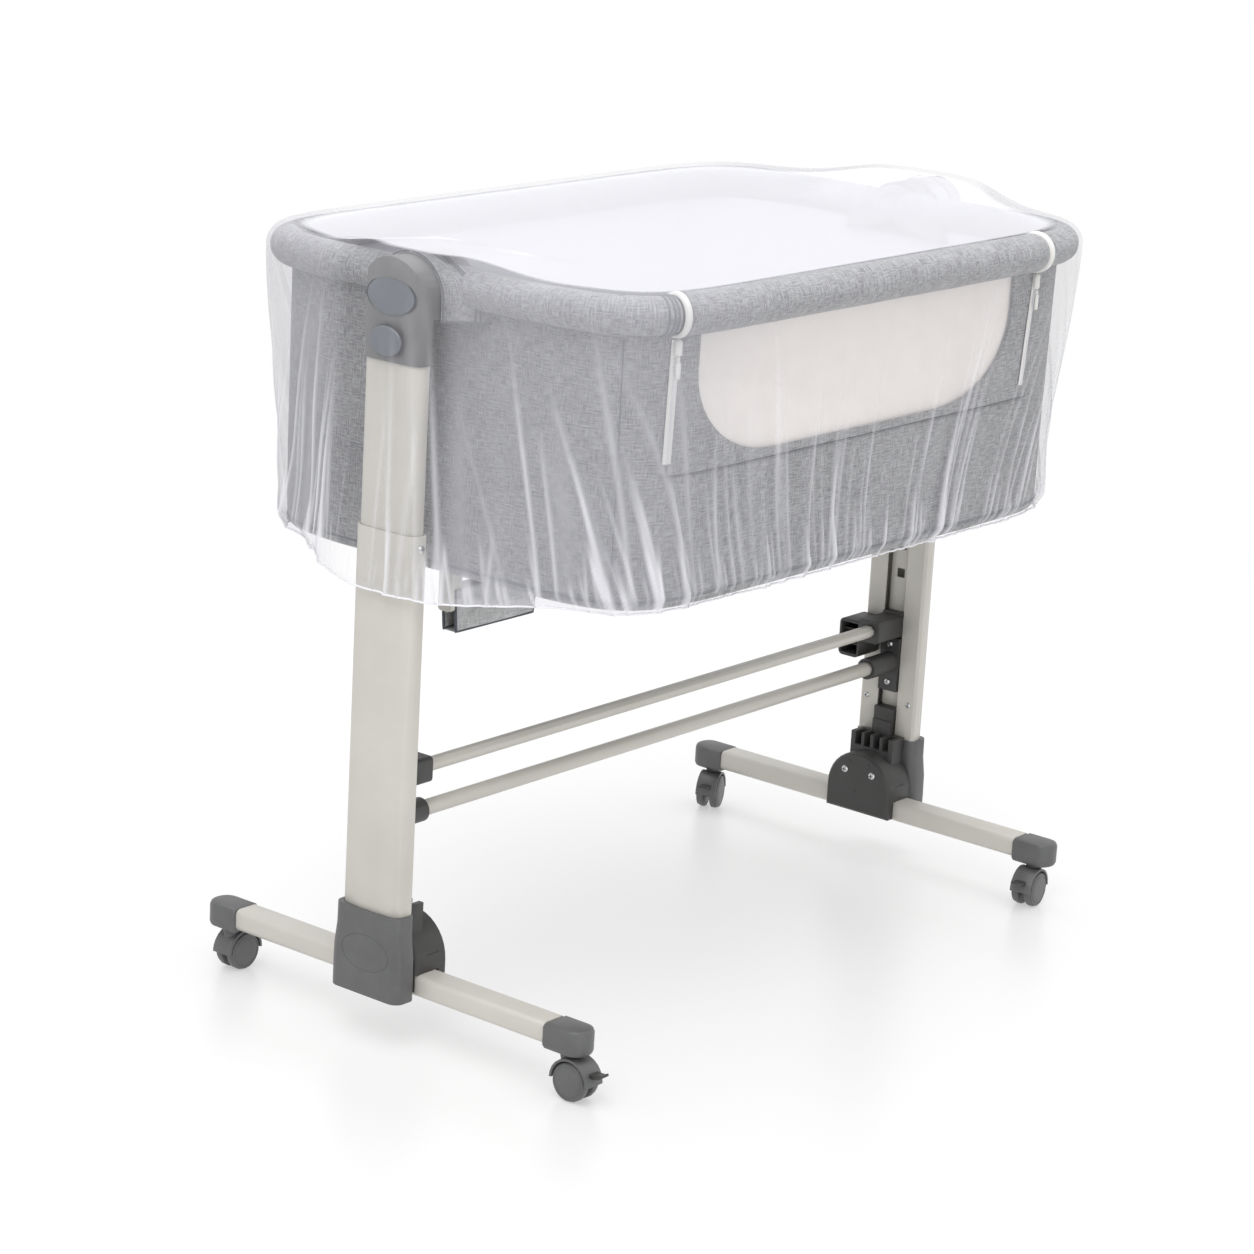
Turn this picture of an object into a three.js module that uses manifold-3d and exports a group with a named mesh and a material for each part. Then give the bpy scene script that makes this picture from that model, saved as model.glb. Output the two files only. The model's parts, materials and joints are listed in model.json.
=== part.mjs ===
// Bassinet on a wheeled stand, in millimetres, +Z up. The origin is on the floor under the middle of the
// bassinet, +X runs to the right-hand post and -Y is the front, where the side drops.
import * as THREE from "three";
import { mergeVertices } from "three/addons/utils/BufferGeometryUtils.js";
import Module from "manifold-3d";

const wasm = await Module();
wasm.setup();

// ---- Driving dimensions ----
const GAP = 0.3; // air left between two pieces that touch

const FOOT_X = 426; // centre line of a foot tube
const FOOT_Z = 66;
const FOOT_WIDTH = 33;
const FOOT_HEIGHT = 24;
const FOOT_REACH = 268; // half the length of a foot, over its caps
const CAP_LENGTH = 48;
const CAP_WIDTH = 36;
const CAP_BOTTOM = 49.5;
const CAP_HEIGHT = 29;

const STEM_Y = 242; // caster stems, from the middle of the foot
const WHEEL_RADIUS = 21;
const WHEEL_WIDTH = 8.5;
const WEB_WIDTH = 8;
const FENDER_RADIUS = 25;
const AXLE_RADIUS = 3;
const TRAIL = 10; // from the swivel axis to the axle

const POST_X = 459.5; // middle of a post's section
const POST_DEPTH = 26;
const POST_WIDTH = 82;
const POST_BOW = 3; // how far the outer face bows out
const COLUMN_WALL = 1.6;
const COLUMN_BOTTOM = 85;
const COLUMN_TOP = 551;
const SLOT_WIDTH = 29;
const RACK_BOTTOM = 163;
const LATCH_PITCH = 35;
const LATCH_FIRST = 349;
const LATCH_COUNT = 6;
const LATCH_HOLE = 11;

const SLIDE_PLAY = 0.8; // between the inner post and its column
const INNER_POST_BOTTOM = 393;
const INNER_POST_TOP = 772;
const INNER_POST_WALL = 2;

const HUB_BOTTOM = 53;
const HUB_TOP = 146;
const HUB_OUTER_X = 476;
const COVER_X = 396; // inboard face of the hub cover
const COVER_RADIUS = 46;
const COVER_BOTTOM = 57;

const UPPER_BAR_Z = 286;
const LOWER_BAR_Z = 239;
const LOWER_BAR_RADIUS = 8.6;
const SOCKET_X = 396; // inboard end of the bar sockets
const BAR_END_X = 408;

const HOUSING_BOTTOM = 724;
const HOUSING_TOP = 830;
const HOUSING_INNER_X = 389; // the arched arm that reaches in over the rim
const HOUSING_ARM_Z = 770;
const HOUSING_OFFSET = -0.9; // from the outline of the column below it
const BADGE_Z = 790;
const BUTTON_Z = 746;

const RIM_A = 405; // half length and half depth of the rim's centre line
const RIM_B = 263;
const RIM_Z = 798;
const OVAL_POWERS = [10, 5.6]; // the squareness of the rim and everything that follows it
const RIM_TUBE_RADIUS = 9;
const RIM_PAD_RADIUS = 19.5;
const SIDE_PAD_RADIUS = 21.5;
const ZIP_LEFT = -336; // the drop side opens between two zips
const ZIP_RIGHT = 288;
const ZIP_GAP = 1.2; // from the middle of a zip to the rim padding on either side
const DROP_HINGE_Z = 636;

const WALL_A = 400; // half length and half depth of the wall at its top
const WALL_B = 262;
const WALL_TOP = 775.5;
const WALL_BOTTOM = 498;
const WALL_THICKNESS = 5;
const FLOOR_THICKNESS = 3;
const BOARD_THICKNESS = 5;
const MATTRESS_THICKNESS = 60;
const WINDOW_X = -30; // middle of the window
const WINDOW_HALF_WIDTH = 274;
const WINDOW_BOTTOM = 645;

const BASE_BAR_X = 372; // half its length
const BASE_BAR_Z = 459;
const NET_A = 430; // half length and half depth of the net at the rim
const NET_B = 290;
const NET_REACH = 56; // how far it is pushed out where it passes over a post
const NET_TOP = 834;
const NET_BOTTOM = 485;
const NET_THICKNESS = 2;

// ---- Materials ----
const paint = (color, roughness, metalness) =>
  new THREE.MeshStandardMaterial({ color, roughness, metalness });
const IVORY = paint(0xd6d3cb, 0.45, 0.3);
const DARK_PLASTIC = paint(0x5d5e60, 0.55, 0);
const BLACK_PLASTIC = paint(0x3c3b3a, 0.5, 0);
const GREY_PLASTIC = paint(0x969694, 0.5, 0);
const BADGE_PLASTIC = paint(0x8a919b, 0.4, 0);
const GREY_FABRIC = paint(0xa2a3a7, 0.95, 0);
const LIGHT_FABRIC = paint(0xe8e3df, 0.95, 0);
const WHITE_FABRIC = paint(0xf2f2f4, 0.95, 0);
const BOARD = paint(0xcfc8bc, 0.8, 0);

// ---- Boolean helpers ----
// A geometry as a solid. A boolean's own result has no uv and its vertices are already shared.
function solid(geometry) {
  const bare = geometry.clone();
  bare.deleteAttribute("normal");
  bare.deleteAttribute("uv");
  const merged = geometry.hasAttribute("uv") ? mergeVertices(bare, 1e-3) : bare;
  return new wasm.Manifold(
    new wasm.Mesh({
      numProp: 3,
      vertProperties: new Float32Array(merged.attributes.position.array),
      triVerts: new Uint32Array(merged.index.array),
    }),
  );
}

function geometryOf(body) {
  const mesh = body.getMesh();
  const geometry = new THREE.BufferGeometry();
  geometry.setAttribute("position", new THREE.BufferAttribute(mesh.vertProperties, 3));
  geometry.setIndex(new THREE.BufferAttribute(mesh.triVerts, 1));
  geometry.computeVertexNormals();
  return geometry;
}

const join = (...parts) => geometryOf(parts.map(solid).reduce((a, b) => a.add(b)));
const cut = (from, ...tools) => geometryOf(tools.map(solid).reduce((a, b) => a.subtract(b), solid(from)));
const common = (a, b) => geometryOf(solid(a).intersect(solid(b)));

// ---- Shape helpers ----
function box(x0, x1, y0, y1, z0, z1) {
  const block = new THREE.BoxGeometry(x1 - x0, y1 - y0, z1 - z0);
  return block.translate((x0 + x1) / 2, (y0 + y1) / 2, (z0 + z1) / 2);
}

// A cylinder along x, from x0 to x1.
function cylinderX(radius, x0, x1, y, z, segments = 20) {
  const rod = new THREE.CylinderGeometry(radius, radius, x1 - x0, segments);
  return rod.rotateZ(-Math.PI / 2).translate((x0 + x1) / 2, y, z);
}

// A cylinder along y, from y0 to y1.
function cylinderY(radius, y0, y1, x, z, segments = 20) {
  return new THREE.CylinderGeometry(radius, radius, y1 - y0, segments).translate(x, (y0 + y1) / 2, z);
}

// A rounded rectangle, half length a along x and half depth b along y, going round from its right-hand side.
function plan(a, b, r, Kind = THREE.Shape) {
  const outline = new Kind();
  outline.moveTo(a, -b + r);
  outline.lineTo(a, b - r);
  outline.absarc(a - r, b - r, r, 0, Math.PI / 2, false);
  outline.lineTo(-a + r, b);
  outline.absarc(-a + r, b - r, r, Math.PI / 2, Math.PI, false);
  outline.lineTo(-a, -b + r);
  outline.absarc(-a + r, -b + r, r, Math.PI, Math.PI * 1.5, false);
  outline.lineTo(a - r, -b);
  outline.absarc(a - r, -b + r, r, Math.PI * 1.5, Math.PI * 2, false);
  return outline;
}

// Extrudes a shape up z from z0 to z1, in steps, with rounded edges where bevel is over 0.
function rise(shape, z0, z1, { steps = 1, bevel = 0, rounding = 2, segments = 4 } = {}) {
  const geometry = new THREE.ExtrudeGeometry(shape, {
    depth: z1 - z0 - 2 * bevel,
    steps,
    curveSegments: segments,
    bevelEnabled: bevel > 0,
    bevelSize: bevel,
    bevelThickness: bevel,
    bevelOffset: -bevel,
    bevelSegments: rounding,
  });
  return geometry.translate(0, 0, z0 + bevel);
}

// Turns an extrusion made up z so that its shape lies in the yz plane and its depth runs along x.
const alongX = (geometry) => geometry.rotateX(Math.PI / 2).rotateZ(Math.PI / 2);

// Turns an extrusion made up z so that its shape lies in the xz plane and its depth runs along -y.
const alongY = (geometry) => geometry.rotateX(Math.PI / 2);

// A closed oval between a rectangle and an ellipse, evenly divided: the higher the powers, the squarer it is.
function ovalPlan(a, b, [powerX, powerY], divisions, Kind = THREE.Shape) {
  const points = Array.from({ length: 400 }, (_, i) => {
    const angle = (Math.PI * 2 * i) / 400;
    const [c, s] = [Math.cos(angle), Math.sin(angle)];
    const x = a * Math.sign(c) * Math.abs(c) ** (2 / powerX);
    return new THREE.Vector2(x, b * Math.sign(s) * Math.abs(s) ** (2 / powerY));
  });
  const whole = new THREE.Path([...points, points[0]]);
  return new Kind(whole.getSpacedPoints(divisions).slice(0, -1));
}

// Moves each vertex in plan: the function takes its x, y and z and gives the new x and y.
function reshaped(geometry, move) {
  const p = geometry.attributes.position;
  for (let i = 0; i < p.count; i++) p.setXY(i, ...move(p.getX(i), p.getY(i), p.getZ(i)));
  return geometry;
}

// ---- The scene graph ----
const bassinet = new THREE.Group();
const rightEnd = new THREE.Group();
const leftEnd = new THREE.Group();
leftEnd.rotation.z = Math.PI;
bassinet.add(rightEnd, leftEnd);
const ENDS = { left: leftEnd, right: rightEnd };

function place(parent, name, geometry, material) {
  const mesh = new THREE.Mesh(geometry, material);
  mesh.name = name;
  parent.add(mesh);
  return mesh;
}

// The same piece at both ends of the stand: the left one is the right one turned half round.
function placeAtEnds(name, geometry, material) {
  for (const [side, end] of Object.entries(ENDS)) place(end, `${name}_${side}`, geometry, material);
}

// ---- Feet ----
function footTube() {
  const half = FOOT_REACH - CAP_LENGTH - GAP;
  const section = plan(FOOT_WIDTH / 2, FOOT_HEIGHT / 2, 6);
  section.holes.push(plan(FOOT_WIDTH / 2 - 2, FOOT_HEIGHT / 2 - 2, 4, THREE.Path));
  const tube = alongY(rise(section, 0, 2 * half, { segments: 2 }));
  return tube.translate(FOOT_X, half, FOOT_Z);
}

// A cap over the end of the foot at +y, round in plan at its tip.
function footCap() {
  const root = FOOT_REACH - CAP_LENGTH;
  const outline = new THREE.Shape();
  outline.moveTo(-CAP_WIDTH / 2, 0);
  outline.lineTo(CAP_WIDTH / 2, 0);
  outline.lineTo(CAP_WIDTH / 2, CAP_LENGTH - 16);
  outline.absellipse(0, CAP_LENGTH - 16, CAP_WIDTH / 2, 16, 0, Math.PI, false);
  const cap = rise(outline, CAP_BOTTOM, CAP_BOTTOM + CAP_HEIGHT, { bevel: 5, segments: 6 });
  return cap.translate(FOOT_X, root, 0);
}

placeAtEnds("foot_tube", footTube(), IVORY);
for (const [side, end] of Object.entries(ENDS))
  for (const way of [1, -1]) {
    const depth = (side === "right") === (way === 1) ? "back" : "front";
    const cap = way === 1 ? footCap() : footCap().rotateZ(Math.PI).translate(2 * FOOT_X, 0, 0);
    place(end, `foot_cap_${side}_${depth}`, cap, DARK_PLASTIC);
  }

// ---- Casters: the swivel axis is the local origin, and the axle lies along local y, TRAIL away along x ----
function casterHood() {
  const fender = new THREE.Shape();
  fender.absarc(0, 0, FENDER_RADIUS, 0, Math.PI, false);
  fender.absarc(0, 0, FENDER_RADIUS - 2.6, Math.PI, 0, true);
  const width = 2 * WHEEL_WIDTH + WEB_WIDTH + 2 * GAP;
  const roof = alongY(rise(fender, 0, width, { segments: 6 })).translate(TRAIL, width / 2, WHEEL_RADIUS);
  const web = new THREE.Shape();
  web.absarc(0, 0, 9, Math.PI, Math.PI * 2, false);
  web.lineTo(17, 16);
  web.lineTo(-17, 16);
  const thickness = WEB_WIDTH - 2 * GAP;
  const plate = alongY(rise(web, 0, thickness)).translate(TRAIL, thickness / 2, WHEEL_RADIUS);
  const boss = new THREE.CylinderGeometry(10, 8, 10, 12).rotateX(Math.PI / 2);
  boss.translate(0, 0, CAP_BOTTOM - 7);
  const stem = new THREE.CylinderGeometry(5, 5, 8, 12).rotateX(Math.PI / 2);
  stem.translate(0, 0, CAP_BOTTOM - 4 - GAP);
  const bore = cylinderY(AXLE_RADIUS + GAP, -10, 10, TRAIL, WHEEL_RADIUS, 10);
  const rooms = [-1, 1].map((way) => {
    const y0 = (way * (WEB_WIDTH + WHEEL_WIDTH + GAP)) / 2;
    const half = (WHEEL_WIDTH + GAP) / 2;
    return cylinderY(WHEEL_RADIUS + 1.2, y0 - half, y0 + half, TRAIL, WHEEL_RADIUS, 20);
  });
  return cut(join(roof, plate, boss, stem), bore, ...rooms);
}

// The twin wheels and the axle that joins them.
function casterWheels() {
  const inner = WEB_WIDTH / 2;
  const outer = inner + WHEEL_WIDTH;
  const profile = [
    [0, inner],
    [WHEEL_RADIUS, inner],
    [WHEEL_RADIUS, outer - 2],
    [WHEEL_RADIUS - 2, outer],
    [0, outer],
  ].map(([r, y]) => new THREE.Vector2(r, y));
  const right = new THREE.LatheGeometry(profile, 18);
  const left = right.clone().rotateZ(Math.PI);
  const axle = cylinderY(AXLE_RADIUS, -inner - 1, inner + 1, 0, 0, 10);
  return join(right, left, axle).translate(TRAIL, 0, WHEEL_RADIUS);
}

// A pedal beyond the fender, hinged at its root.
function brakeLever() {
  const side = new THREE.Shape();
  side.moveTo(24.4, 9);
  side.lineTo(34, 11);
  side.lineTo(38, 14);
  side.lineTo(37.4, 16.6);
  side.lineTo(33, 14.6);
  side.lineTo(22.4, 14.4);
  return alongY(rise(side, 0, 13)).translate(TRAIL, 6.5, WHEEL_RADIUS);
}

const CASTERS = [
  { name: "left_front", x: -FOOT_X, y: -STEM_Y, heading: -90 },
  { name: "left_back", x: -FOOT_X, y: STEM_Y, heading: 0 },
  { name: "right_front", x: FOOT_X, y: -STEM_Y, heading: 187 },
  { name: "right_back", x: FOOT_X, y: STEM_Y, heading: 202 },
];
for (const { name, x, y, heading } of CASTERS) {
  const caster = new THREE.Group();
  caster.position.set(x, y, 0);
  caster.rotation.z = THREE.MathUtils.degToRad(heading);
  bassinet.add(caster);
  place(caster, `caster_hood_${name}`, casterHood(), DARK_PLASTIC);
  place(caster, `caster_wheels_${name}`, casterWheels(), DARK_PLASTIC);
  place(caster, `brake_lever_${name}`, brakeLever(), BLACK_PLASTIC);
}

// ---- Posts ----
// The outline of a post's section, grown outwards by offset: flat inboard, bowed outboard.
function postOutline(offset, inner = POST_X - POST_DEPTH / 2 - offset) {
  const shape = new THREE.Shape();
  const outer = POST_X + POST_DEPTH / 2 + offset;
  const half = POST_WIDTH / 2 + offset;
  const round = 12 + offset / 2;
  shape.moveTo(inner, -half + 3);
  shape.lineTo(inner + 3, -half);
  shape.lineTo(outer - POST_BOW - round, -half);
  shape.quadraticCurveTo(outer - POST_BOW, -half, outer - POST_BOW + 1, -half + round);
  shape.quadraticCurveTo(outer + 1, 0, outer - POST_BOW + 1, half - round);
  shape.quadraticCurveTo(outer - POST_BOW, half, outer - POST_BOW - round, half);
  shape.lineTo(inner + 3, half);
  shape.lineTo(inner, half - 3);
  return shape;
}

// An open channel: the outline less its own inside, slotted down its inboard face.
function channel(offset, wall, slot, z0, z1) {
  const bar = rise(postOutline(offset), z0, z1, { segments: 3 });
  const room = rise(postOutline(offset - wall), z0 - 1, z1 + 1, { segments: 3 });
  const opening = box(POST_X - POST_DEPTH, POST_X - 4, -slot / 2, slot / 2, z0 - 1, z1 + 1);
  return cut(bar, room, opening);
}

// A filled post section, used to clear room for a post.
function postRoom(offset, z0, z1) {
  return rise(postOutline(offset), z0, z1, { segments: 3 });
}

const INNER_POST_OFFSET = -COLUMN_WALL - SLIDE_PLAY;
const columnFace = POST_X - POST_DEPTH / 2;

// The channel rail with square latch holes, fixed inside the column behind its slot.
function latchRack() {
  const x0 = columnFace + 8.4;
  const rail = box(x0, x0 + 9, -14, 14, RACK_BOTTOM, COLUMN_TOP - 8);
  const hollow = box(x0 + 2, x0 + 10, -12, 12, RACK_BOTTOM - 1, COLUMN_TOP);
  const holes = Array.from({ length: LATCH_COUNT }, (_, i) => {
    const z = LATCH_FIRST + i * LATCH_PITCH;
    return box(x0 - 1, x0 + 3, -LATCH_HOLE / 2, LATCH_HOLE / 2, z - LATCH_HOLE / 2, z + LATCH_HOLE / 2);
  });
  return cut(rail, hollow, ...holes);
}

placeAtEnds("column", channel(0, COLUMN_WALL, SLOT_WIDTH, COLUMN_BOTTOM, COLUMN_TOP), IVORY);
placeAtEnds("latch_rack", latchRack(), IVORY);
placeAtEnds(
  "inner_post",
  channel(INNER_POST_OFFSET, INNER_POST_WALL, 36, INNER_POST_BOTTOM, INNER_POST_TOP),
  IVORY,
);

// ---- Hubs ----
const footRoom = () =>
  box(
    FOOT_X - FOOT_WIDTH / 2 - GAP,
    FOOT_X + FOOT_WIDTH / 2 + GAP,
    -100,
    100,
    FOOT_Z - FOOT_HEIGHT / 2 - GAP,
    FOOT_Z + FOOT_HEIGHT / 2 + GAP,
  );

// The outer shell wraps the column's foot and flares towards the floor.
function hubShell() {
  const inboard = columnFace - 2.6;
  const middle = (HUB_OUTER_X + inboard) / 2;
  const outline = plan((HUB_OUTER_X - inboard) / 2, POST_WIDTH / 2 + 3, 11);
  const block = rise(outline, HUB_BOTTOM, HUB_TOP, { steps: 4, segments: 3 });
  const bulge = (x, y, z) => {
    const drop = Math.min(1, Math.max(0, (HUB_TOP - 20 - z) / 30));
    return [x, y * (1 + 0.1 * drop)];
  };
  const shell = reshaped(block, bulge).translate(middle, 0, 0);
  return cut(shell, postRoom(GAP, COLUMN_BOTTOM - GAP, HUB_TOP + 1), footRoom());
}

// The inner cover: a D-shaped boss, its ribbed neck and the tongue that plugs the column's slot.
function hubCover() {
  const outboard = columnFace - 2.6 - GAP;
  const face = new THREE.Shape();
  const spring = HUB_TOP - 14 - COVER_RADIUS;
  face.moveTo(-COVER_RADIUS, COVER_BOTTOM);
  face.lineTo(COVER_RADIUS, COVER_BOTTOM);
  face.lineTo(COVER_RADIUS, spring);
  face.absarc(0, spring, COVER_RADIUS, 0, Math.PI, false);
  const boss = alongX(rise(face, COVER_X, outboard, { bevel: 3, rounding: 1, segments: 9 }));
  const neck = box(COVER_X + 24, outboard, -31, 31, HUB_TOP - 30, HUB_TOP + 4);
  const tongue = box(outboard - 4, columnFace + 7.8, -13.4, 13.4, HUB_TOP - 20, HUB_TOP + 36);
  const grooves = [-20, -7, 7, 20].map((y) =>
    box(COVER_X + 20, outboard - 6, y - 4.5, y + 4.5, HUB_TOP - 12, HUB_TOP + 9),
  );
  const slots = [-1, 1].map((way) => {
    const y = way * (COVER_RADIUS - 2);
    return box(COVER_X + 14, COVER_X + 32, Math.min(y, y + way * 4), Math.max(y, y + way * 4), 96, 104);
  });
  const bridge = box(outboard - 6, outboard - 1, -13.4, 13.4, HUB_TOP - 20, HUB_TOP + 20);
  const shellRoom = box(outboard - 1, columnFace + 40, -60, 60, HUB_BOTTOM - 1, HUB_TOP + GAP);
  const cover = cut(join(boss, neck), ...grooves, ...slots, footRoom());
  return join(cover, bridge, cut(tongue, shellRoom));
}

placeAtEnds("hub_shell", hubShell(), DARK_PLASTIC);
placeAtEnds("hub_cover", hubCover(), BLACK_PLASTIC);

// ---- Cross bars and their sockets ----
function upperBar(margin = 0) {
  const section = new THREE.Shape();
  const w = 7.5 + margin;
  const h = 7 + margin;
  section.moveTo(-w, -2.5);
  section.lineTo(-3.5, -h);
  section.lineTo(3.5, -h);
  section.lineTo(w, -2.5);
  section.lineTo(w, 2.5);
  section.lineTo(3.5, h);
  section.lineTo(-3.5, h);
  section.lineTo(-w, 2.5);
  return alongX(rise(section, -BAR_END_X - margin, BAR_END_X + margin)).translate(0, 0, UPPER_BAR_Z);
}

const lowerBar = (margin = 0) =>
  cylinderX(LOWER_BAR_RADIUS + margin, -BAR_END_X - margin, BAR_END_X + margin, 0, LOWER_BAR_Z, 20);

function upperSocket() {
  const sleeve = alongX(rise(plan(15, 14, 5), SOCKET_X, columnFace - GAP, { segments: 2 }));
  const tongue = box(columnFace - 4, columnFace + 7.8, -13.4, 13.4, UPPER_BAR_Z - 13, UPPER_BAR_Z + 16);
  return cut(join(sleeve.translate(0, 0, UPPER_BAR_Z), tongue), upperBar(GAP));
}

function lowerSocket() {
  const sleeve = cylinderX(13, SOCKET_X, columnFace + 2, 0, LOWER_BAR_Z, 24);
  const plate = box(columnFace - 3, columnFace + 7.8, -13.4, 13.4, LOWER_BAR_Z - 36, LOWER_BAR_Z + 31);
  return cut(join(sleeve, plate), lowerBar(GAP));
}

// An open-fronted clip on the back of the right-hand upper socket, ribbed inside.
function barClip() {
  const outline = plan(15, 23, 6);
  const block = alongX(rise(outline, SOCKET_X + 4, columnFace - 4, { segments: 3 }));
  const room = box(SOCKET_X, columnFace - 7, -12, 12, -19, 19);
  const ribs = [-9, 0, 9].map((z) => box(SOCKET_X + 12, columnFace - 6, -13, 13, z - 1, z + 1));
  return join(cut(block, room), ...ribs).translate(0, 30.5, UPPER_BAR_Z - 15);
}

place(bassinet, "upper_bar", upperBar(), IVORY);
place(bassinet, "lower_bar", lowerBar(), IVORY);
placeAtEnds("upper_socket", upperSocket(), BLACK_PLASTIC);
placeAtEnds("lower_socket", lowerSocket(), BLACK_PLASTIC);
place(rightEnd, "bar_clip", barClip(), BLACK_PLASTIC);

// ---- Housings at the post tops ----
// Keeps what lies under the housing's arched top.
function archRoom() {
  const arch = new THREE.Shape();
  const radius = POST_WIDTH / 2 + 2;
  const spring = HOUSING_TOP - radius;
  arch.moveTo(-radius, 0);
  arch.lineTo(radius, 0);
  arch.lineTo(radius, spring);
  arch.absarc(0, spring, radius, 0, Math.PI, false);
  return alongX(rise(arch, 380, 500, { segments: 8 }));
}

// An upright oval prism along x.
function oval(halfWidth, halfHeight, z, x0, x1, bevel = 0) {
  const outline = new THREE.Shape();
  outline.absellipse(0, 0, halfWidth, halfHeight, 0, Math.PI * 2, false);
  return alongX(rise(outline, x0, x1, { bevel, rounding: 1, segments: 9 })).translate(0, 0, z);
}

const buttonSeat = POST_X + POST_DEPTH / 2 - 2.2;

function housing() {
  const lower = rise(postOutline(HOUSING_OFFSET), HOUSING_BOTTOM, HOUSING_TOP, { segments: 4 });
  const upper = rise(postOutline(HOUSING_OFFSET, HOUSING_INNER_X), HOUSING_ARM_Z, HOUSING_TOP, { segments: 4 });
  const block = common(join(lower, upper), archRoom());
  const post = postRoom(INNER_POST_OFFSET + GAP, HOUSING_BOTTOM - 1, INNER_POST_TOP + GAP);
  const bore = cylinderY(RIM_TUBE_RADIUS + 0.6, -60, 60, RIM_A, RIM_Z, 20);
  const pocket = oval(22.6, 16.1, BUTTON_Z, buttonSeat, buttonSeat + 20);
  return cut(block, post, bore, pocket);
}

// A thin oval plate that follows the housing's round face.
function badge() {
  const skin = rise(postOutline(HOUSING_OFFSET + 1.5), BADGE_Z - 30, BADGE_Z + 30, { segments: 4 });
  const core = rise(postOutline(HOUSING_OFFSET + GAP), BADGE_Z - 31, BADGE_Z + 31, { segments: 4 });
  return common(cut(skin, core), oval(31.5, 18.5, BADGE_Z, POST_X, POST_X + 30));
}

const releaseButton = () => oval(22, 15.5, BUTTON_Z, buttonSeat + 4, buttonSeat + 8, 1.8);

placeAtEnds("housing", housing(), GREY_PLASTIC);
placeAtEnds("badge", badge(), BADGE_PLASTIC);
placeAtEnds("release_button", releaseButton(), BADGE_PLASTIC);

// ---- Rim: its centre line goes round from the middle of the front towards +x ----
const RIM_AT_HOUSING = POST_WIDTH / 2 + 2.5; // the padding stops this far either side of a post
const rimLoop = (() => {
  const points = ovalPlan(RIM_A, RIM_B, OVAL_POWERS, 240).getPoints();
  const loop = points.map(({ x, y }) => new THREE.Vector3(x, y, RIM_Z));
  const front = loop.findIndex(({ x, y }) => y < 0 && x >= 0);
  return [...loop.slice(front), ...loop.slice(0, front)];
})();

// A round bar or sleeve that follows the rim between two distances.
function alongRim(span, radius, bore = 0) {
  const extrudePath = new THREE.CatmullRomCurve3(span);
  const steps = Math.max(6, Math.round(extrudePath.getLength() / 48));
  const section = new THREE.Shape();
  section.absarc(0, 0, radius, 0, Math.PI * 2, false);
  if (bore > 0) {
    const hole = new THREE.Path();
    hole.absarc(0, 0, bore, 0, Math.PI * 2, true);
    section.holes.push(hole);
  }
  return new THREE.ExtrudeGeometry(section, { steps, curveSegments: 4, extrudePath });
}

const inFront = ({ x, y }) => y < 0 && x > ZIP_LEFT + ZIP_GAP && x < ZIP_RIGHT - ZIP_GAP;
const behindZips = ({ x, y }) => y > 0 || x < ZIP_LEFT - ZIP_GAP || x > ZIP_RIGHT + ZIP_GAP;
const clearOfPost = ({ y }) => Math.abs(y) > RIM_AT_HOUSING;
const toRight = ({ x, y }) => x > 0 && y < 0;
const toLeft = ({ x, y }) => x < 0 && y < 0;
const rimSpan = rimLoop.filter(behindZips);
const half = rimLoop.length / 2;
const railSpan = [...rimLoop.slice(half), ...rimLoop.slice(0, half)].filter(inFront);
const padSpan = rimSpan.filter(clearOfPost);
const bore = RIM_TUBE_RADIUS + 3.4;

place(bassinet, "rim_tube", alongRim(rimSpan, RIM_TUBE_RADIUS), IVORY);
place(bassinet, "rim_pad_back", alongRim(padSpan.filter(({ y }) => y > 0), RIM_PAD_RADIUS, bore), GREY_FABRIC);
place(bassinet, "rim_pad_right", alongRim(padSpan.filter(toRight), RIM_PAD_RADIUS, bore), GREY_FABRIC);
place(bassinet, "rim_pad_left", alongRim(padSpan.filter(toLeft), RIM_PAD_RADIUS, bore), GREY_FABRIC);
place(bassinet, "side_rail", alongRim(railSpan, RIM_TUBE_RADIUS), IVORY);
place(bassinet, "side_pad", alongRim(railSpan, SIDE_PAD_RADIUS, bore), GREY_FABRIC);

// ---- Basket: a tub that narrows a little towards its floor ----
const drawIn = (x, y, z) => {
  const down = (WALL_TOP - z) / (WALL_TOP - WALL_BOTTOM);
  return [x * (1 - 0.0095 * down), y * (1 - 0.0075 * down)];
};
const tub = (inset, Kind) => ovalPlan(WALL_A - inset, WALL_B - inset, OVAL_POWERS, 64, Kind);

// The wall's ring, between two depths in from its outer face.
function wallRing(from, to, z0, z1) {
  const ring = tub(from);
  ring.holes.push(tub(to, THREE.Path));
  return reshaped(rise(ring, z0, z1), drawIn);
}

// The window's outline, straight at the top and round at its lower corners, as a prism through the front.
function windowRoom(inset) {
  const half = WINDOW_HALF_WIDTH - inset;
  const bottom = WINDOW_BOTTOM + inset;
  const outline = new THREE.Shape();
  outline.moveTo(-half, WALL_TOP + 5);
  outline.lineTo(-half, bottom + 95);
  outline.quadraticCurveTo(-half + 4, bottom + 3, -130, bottom);
  outline.lineTo(130, bottom);
  outline.quadraticCurveTo(half - 4, bottom + 3, half, bottom + 95);
  outline.lineTo(half, WALL_TOP + 5);
  return alongY(rise(outline, 0, 300, { segments: 6 })).translate(WINDOW_X, -100, 0);
}

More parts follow.
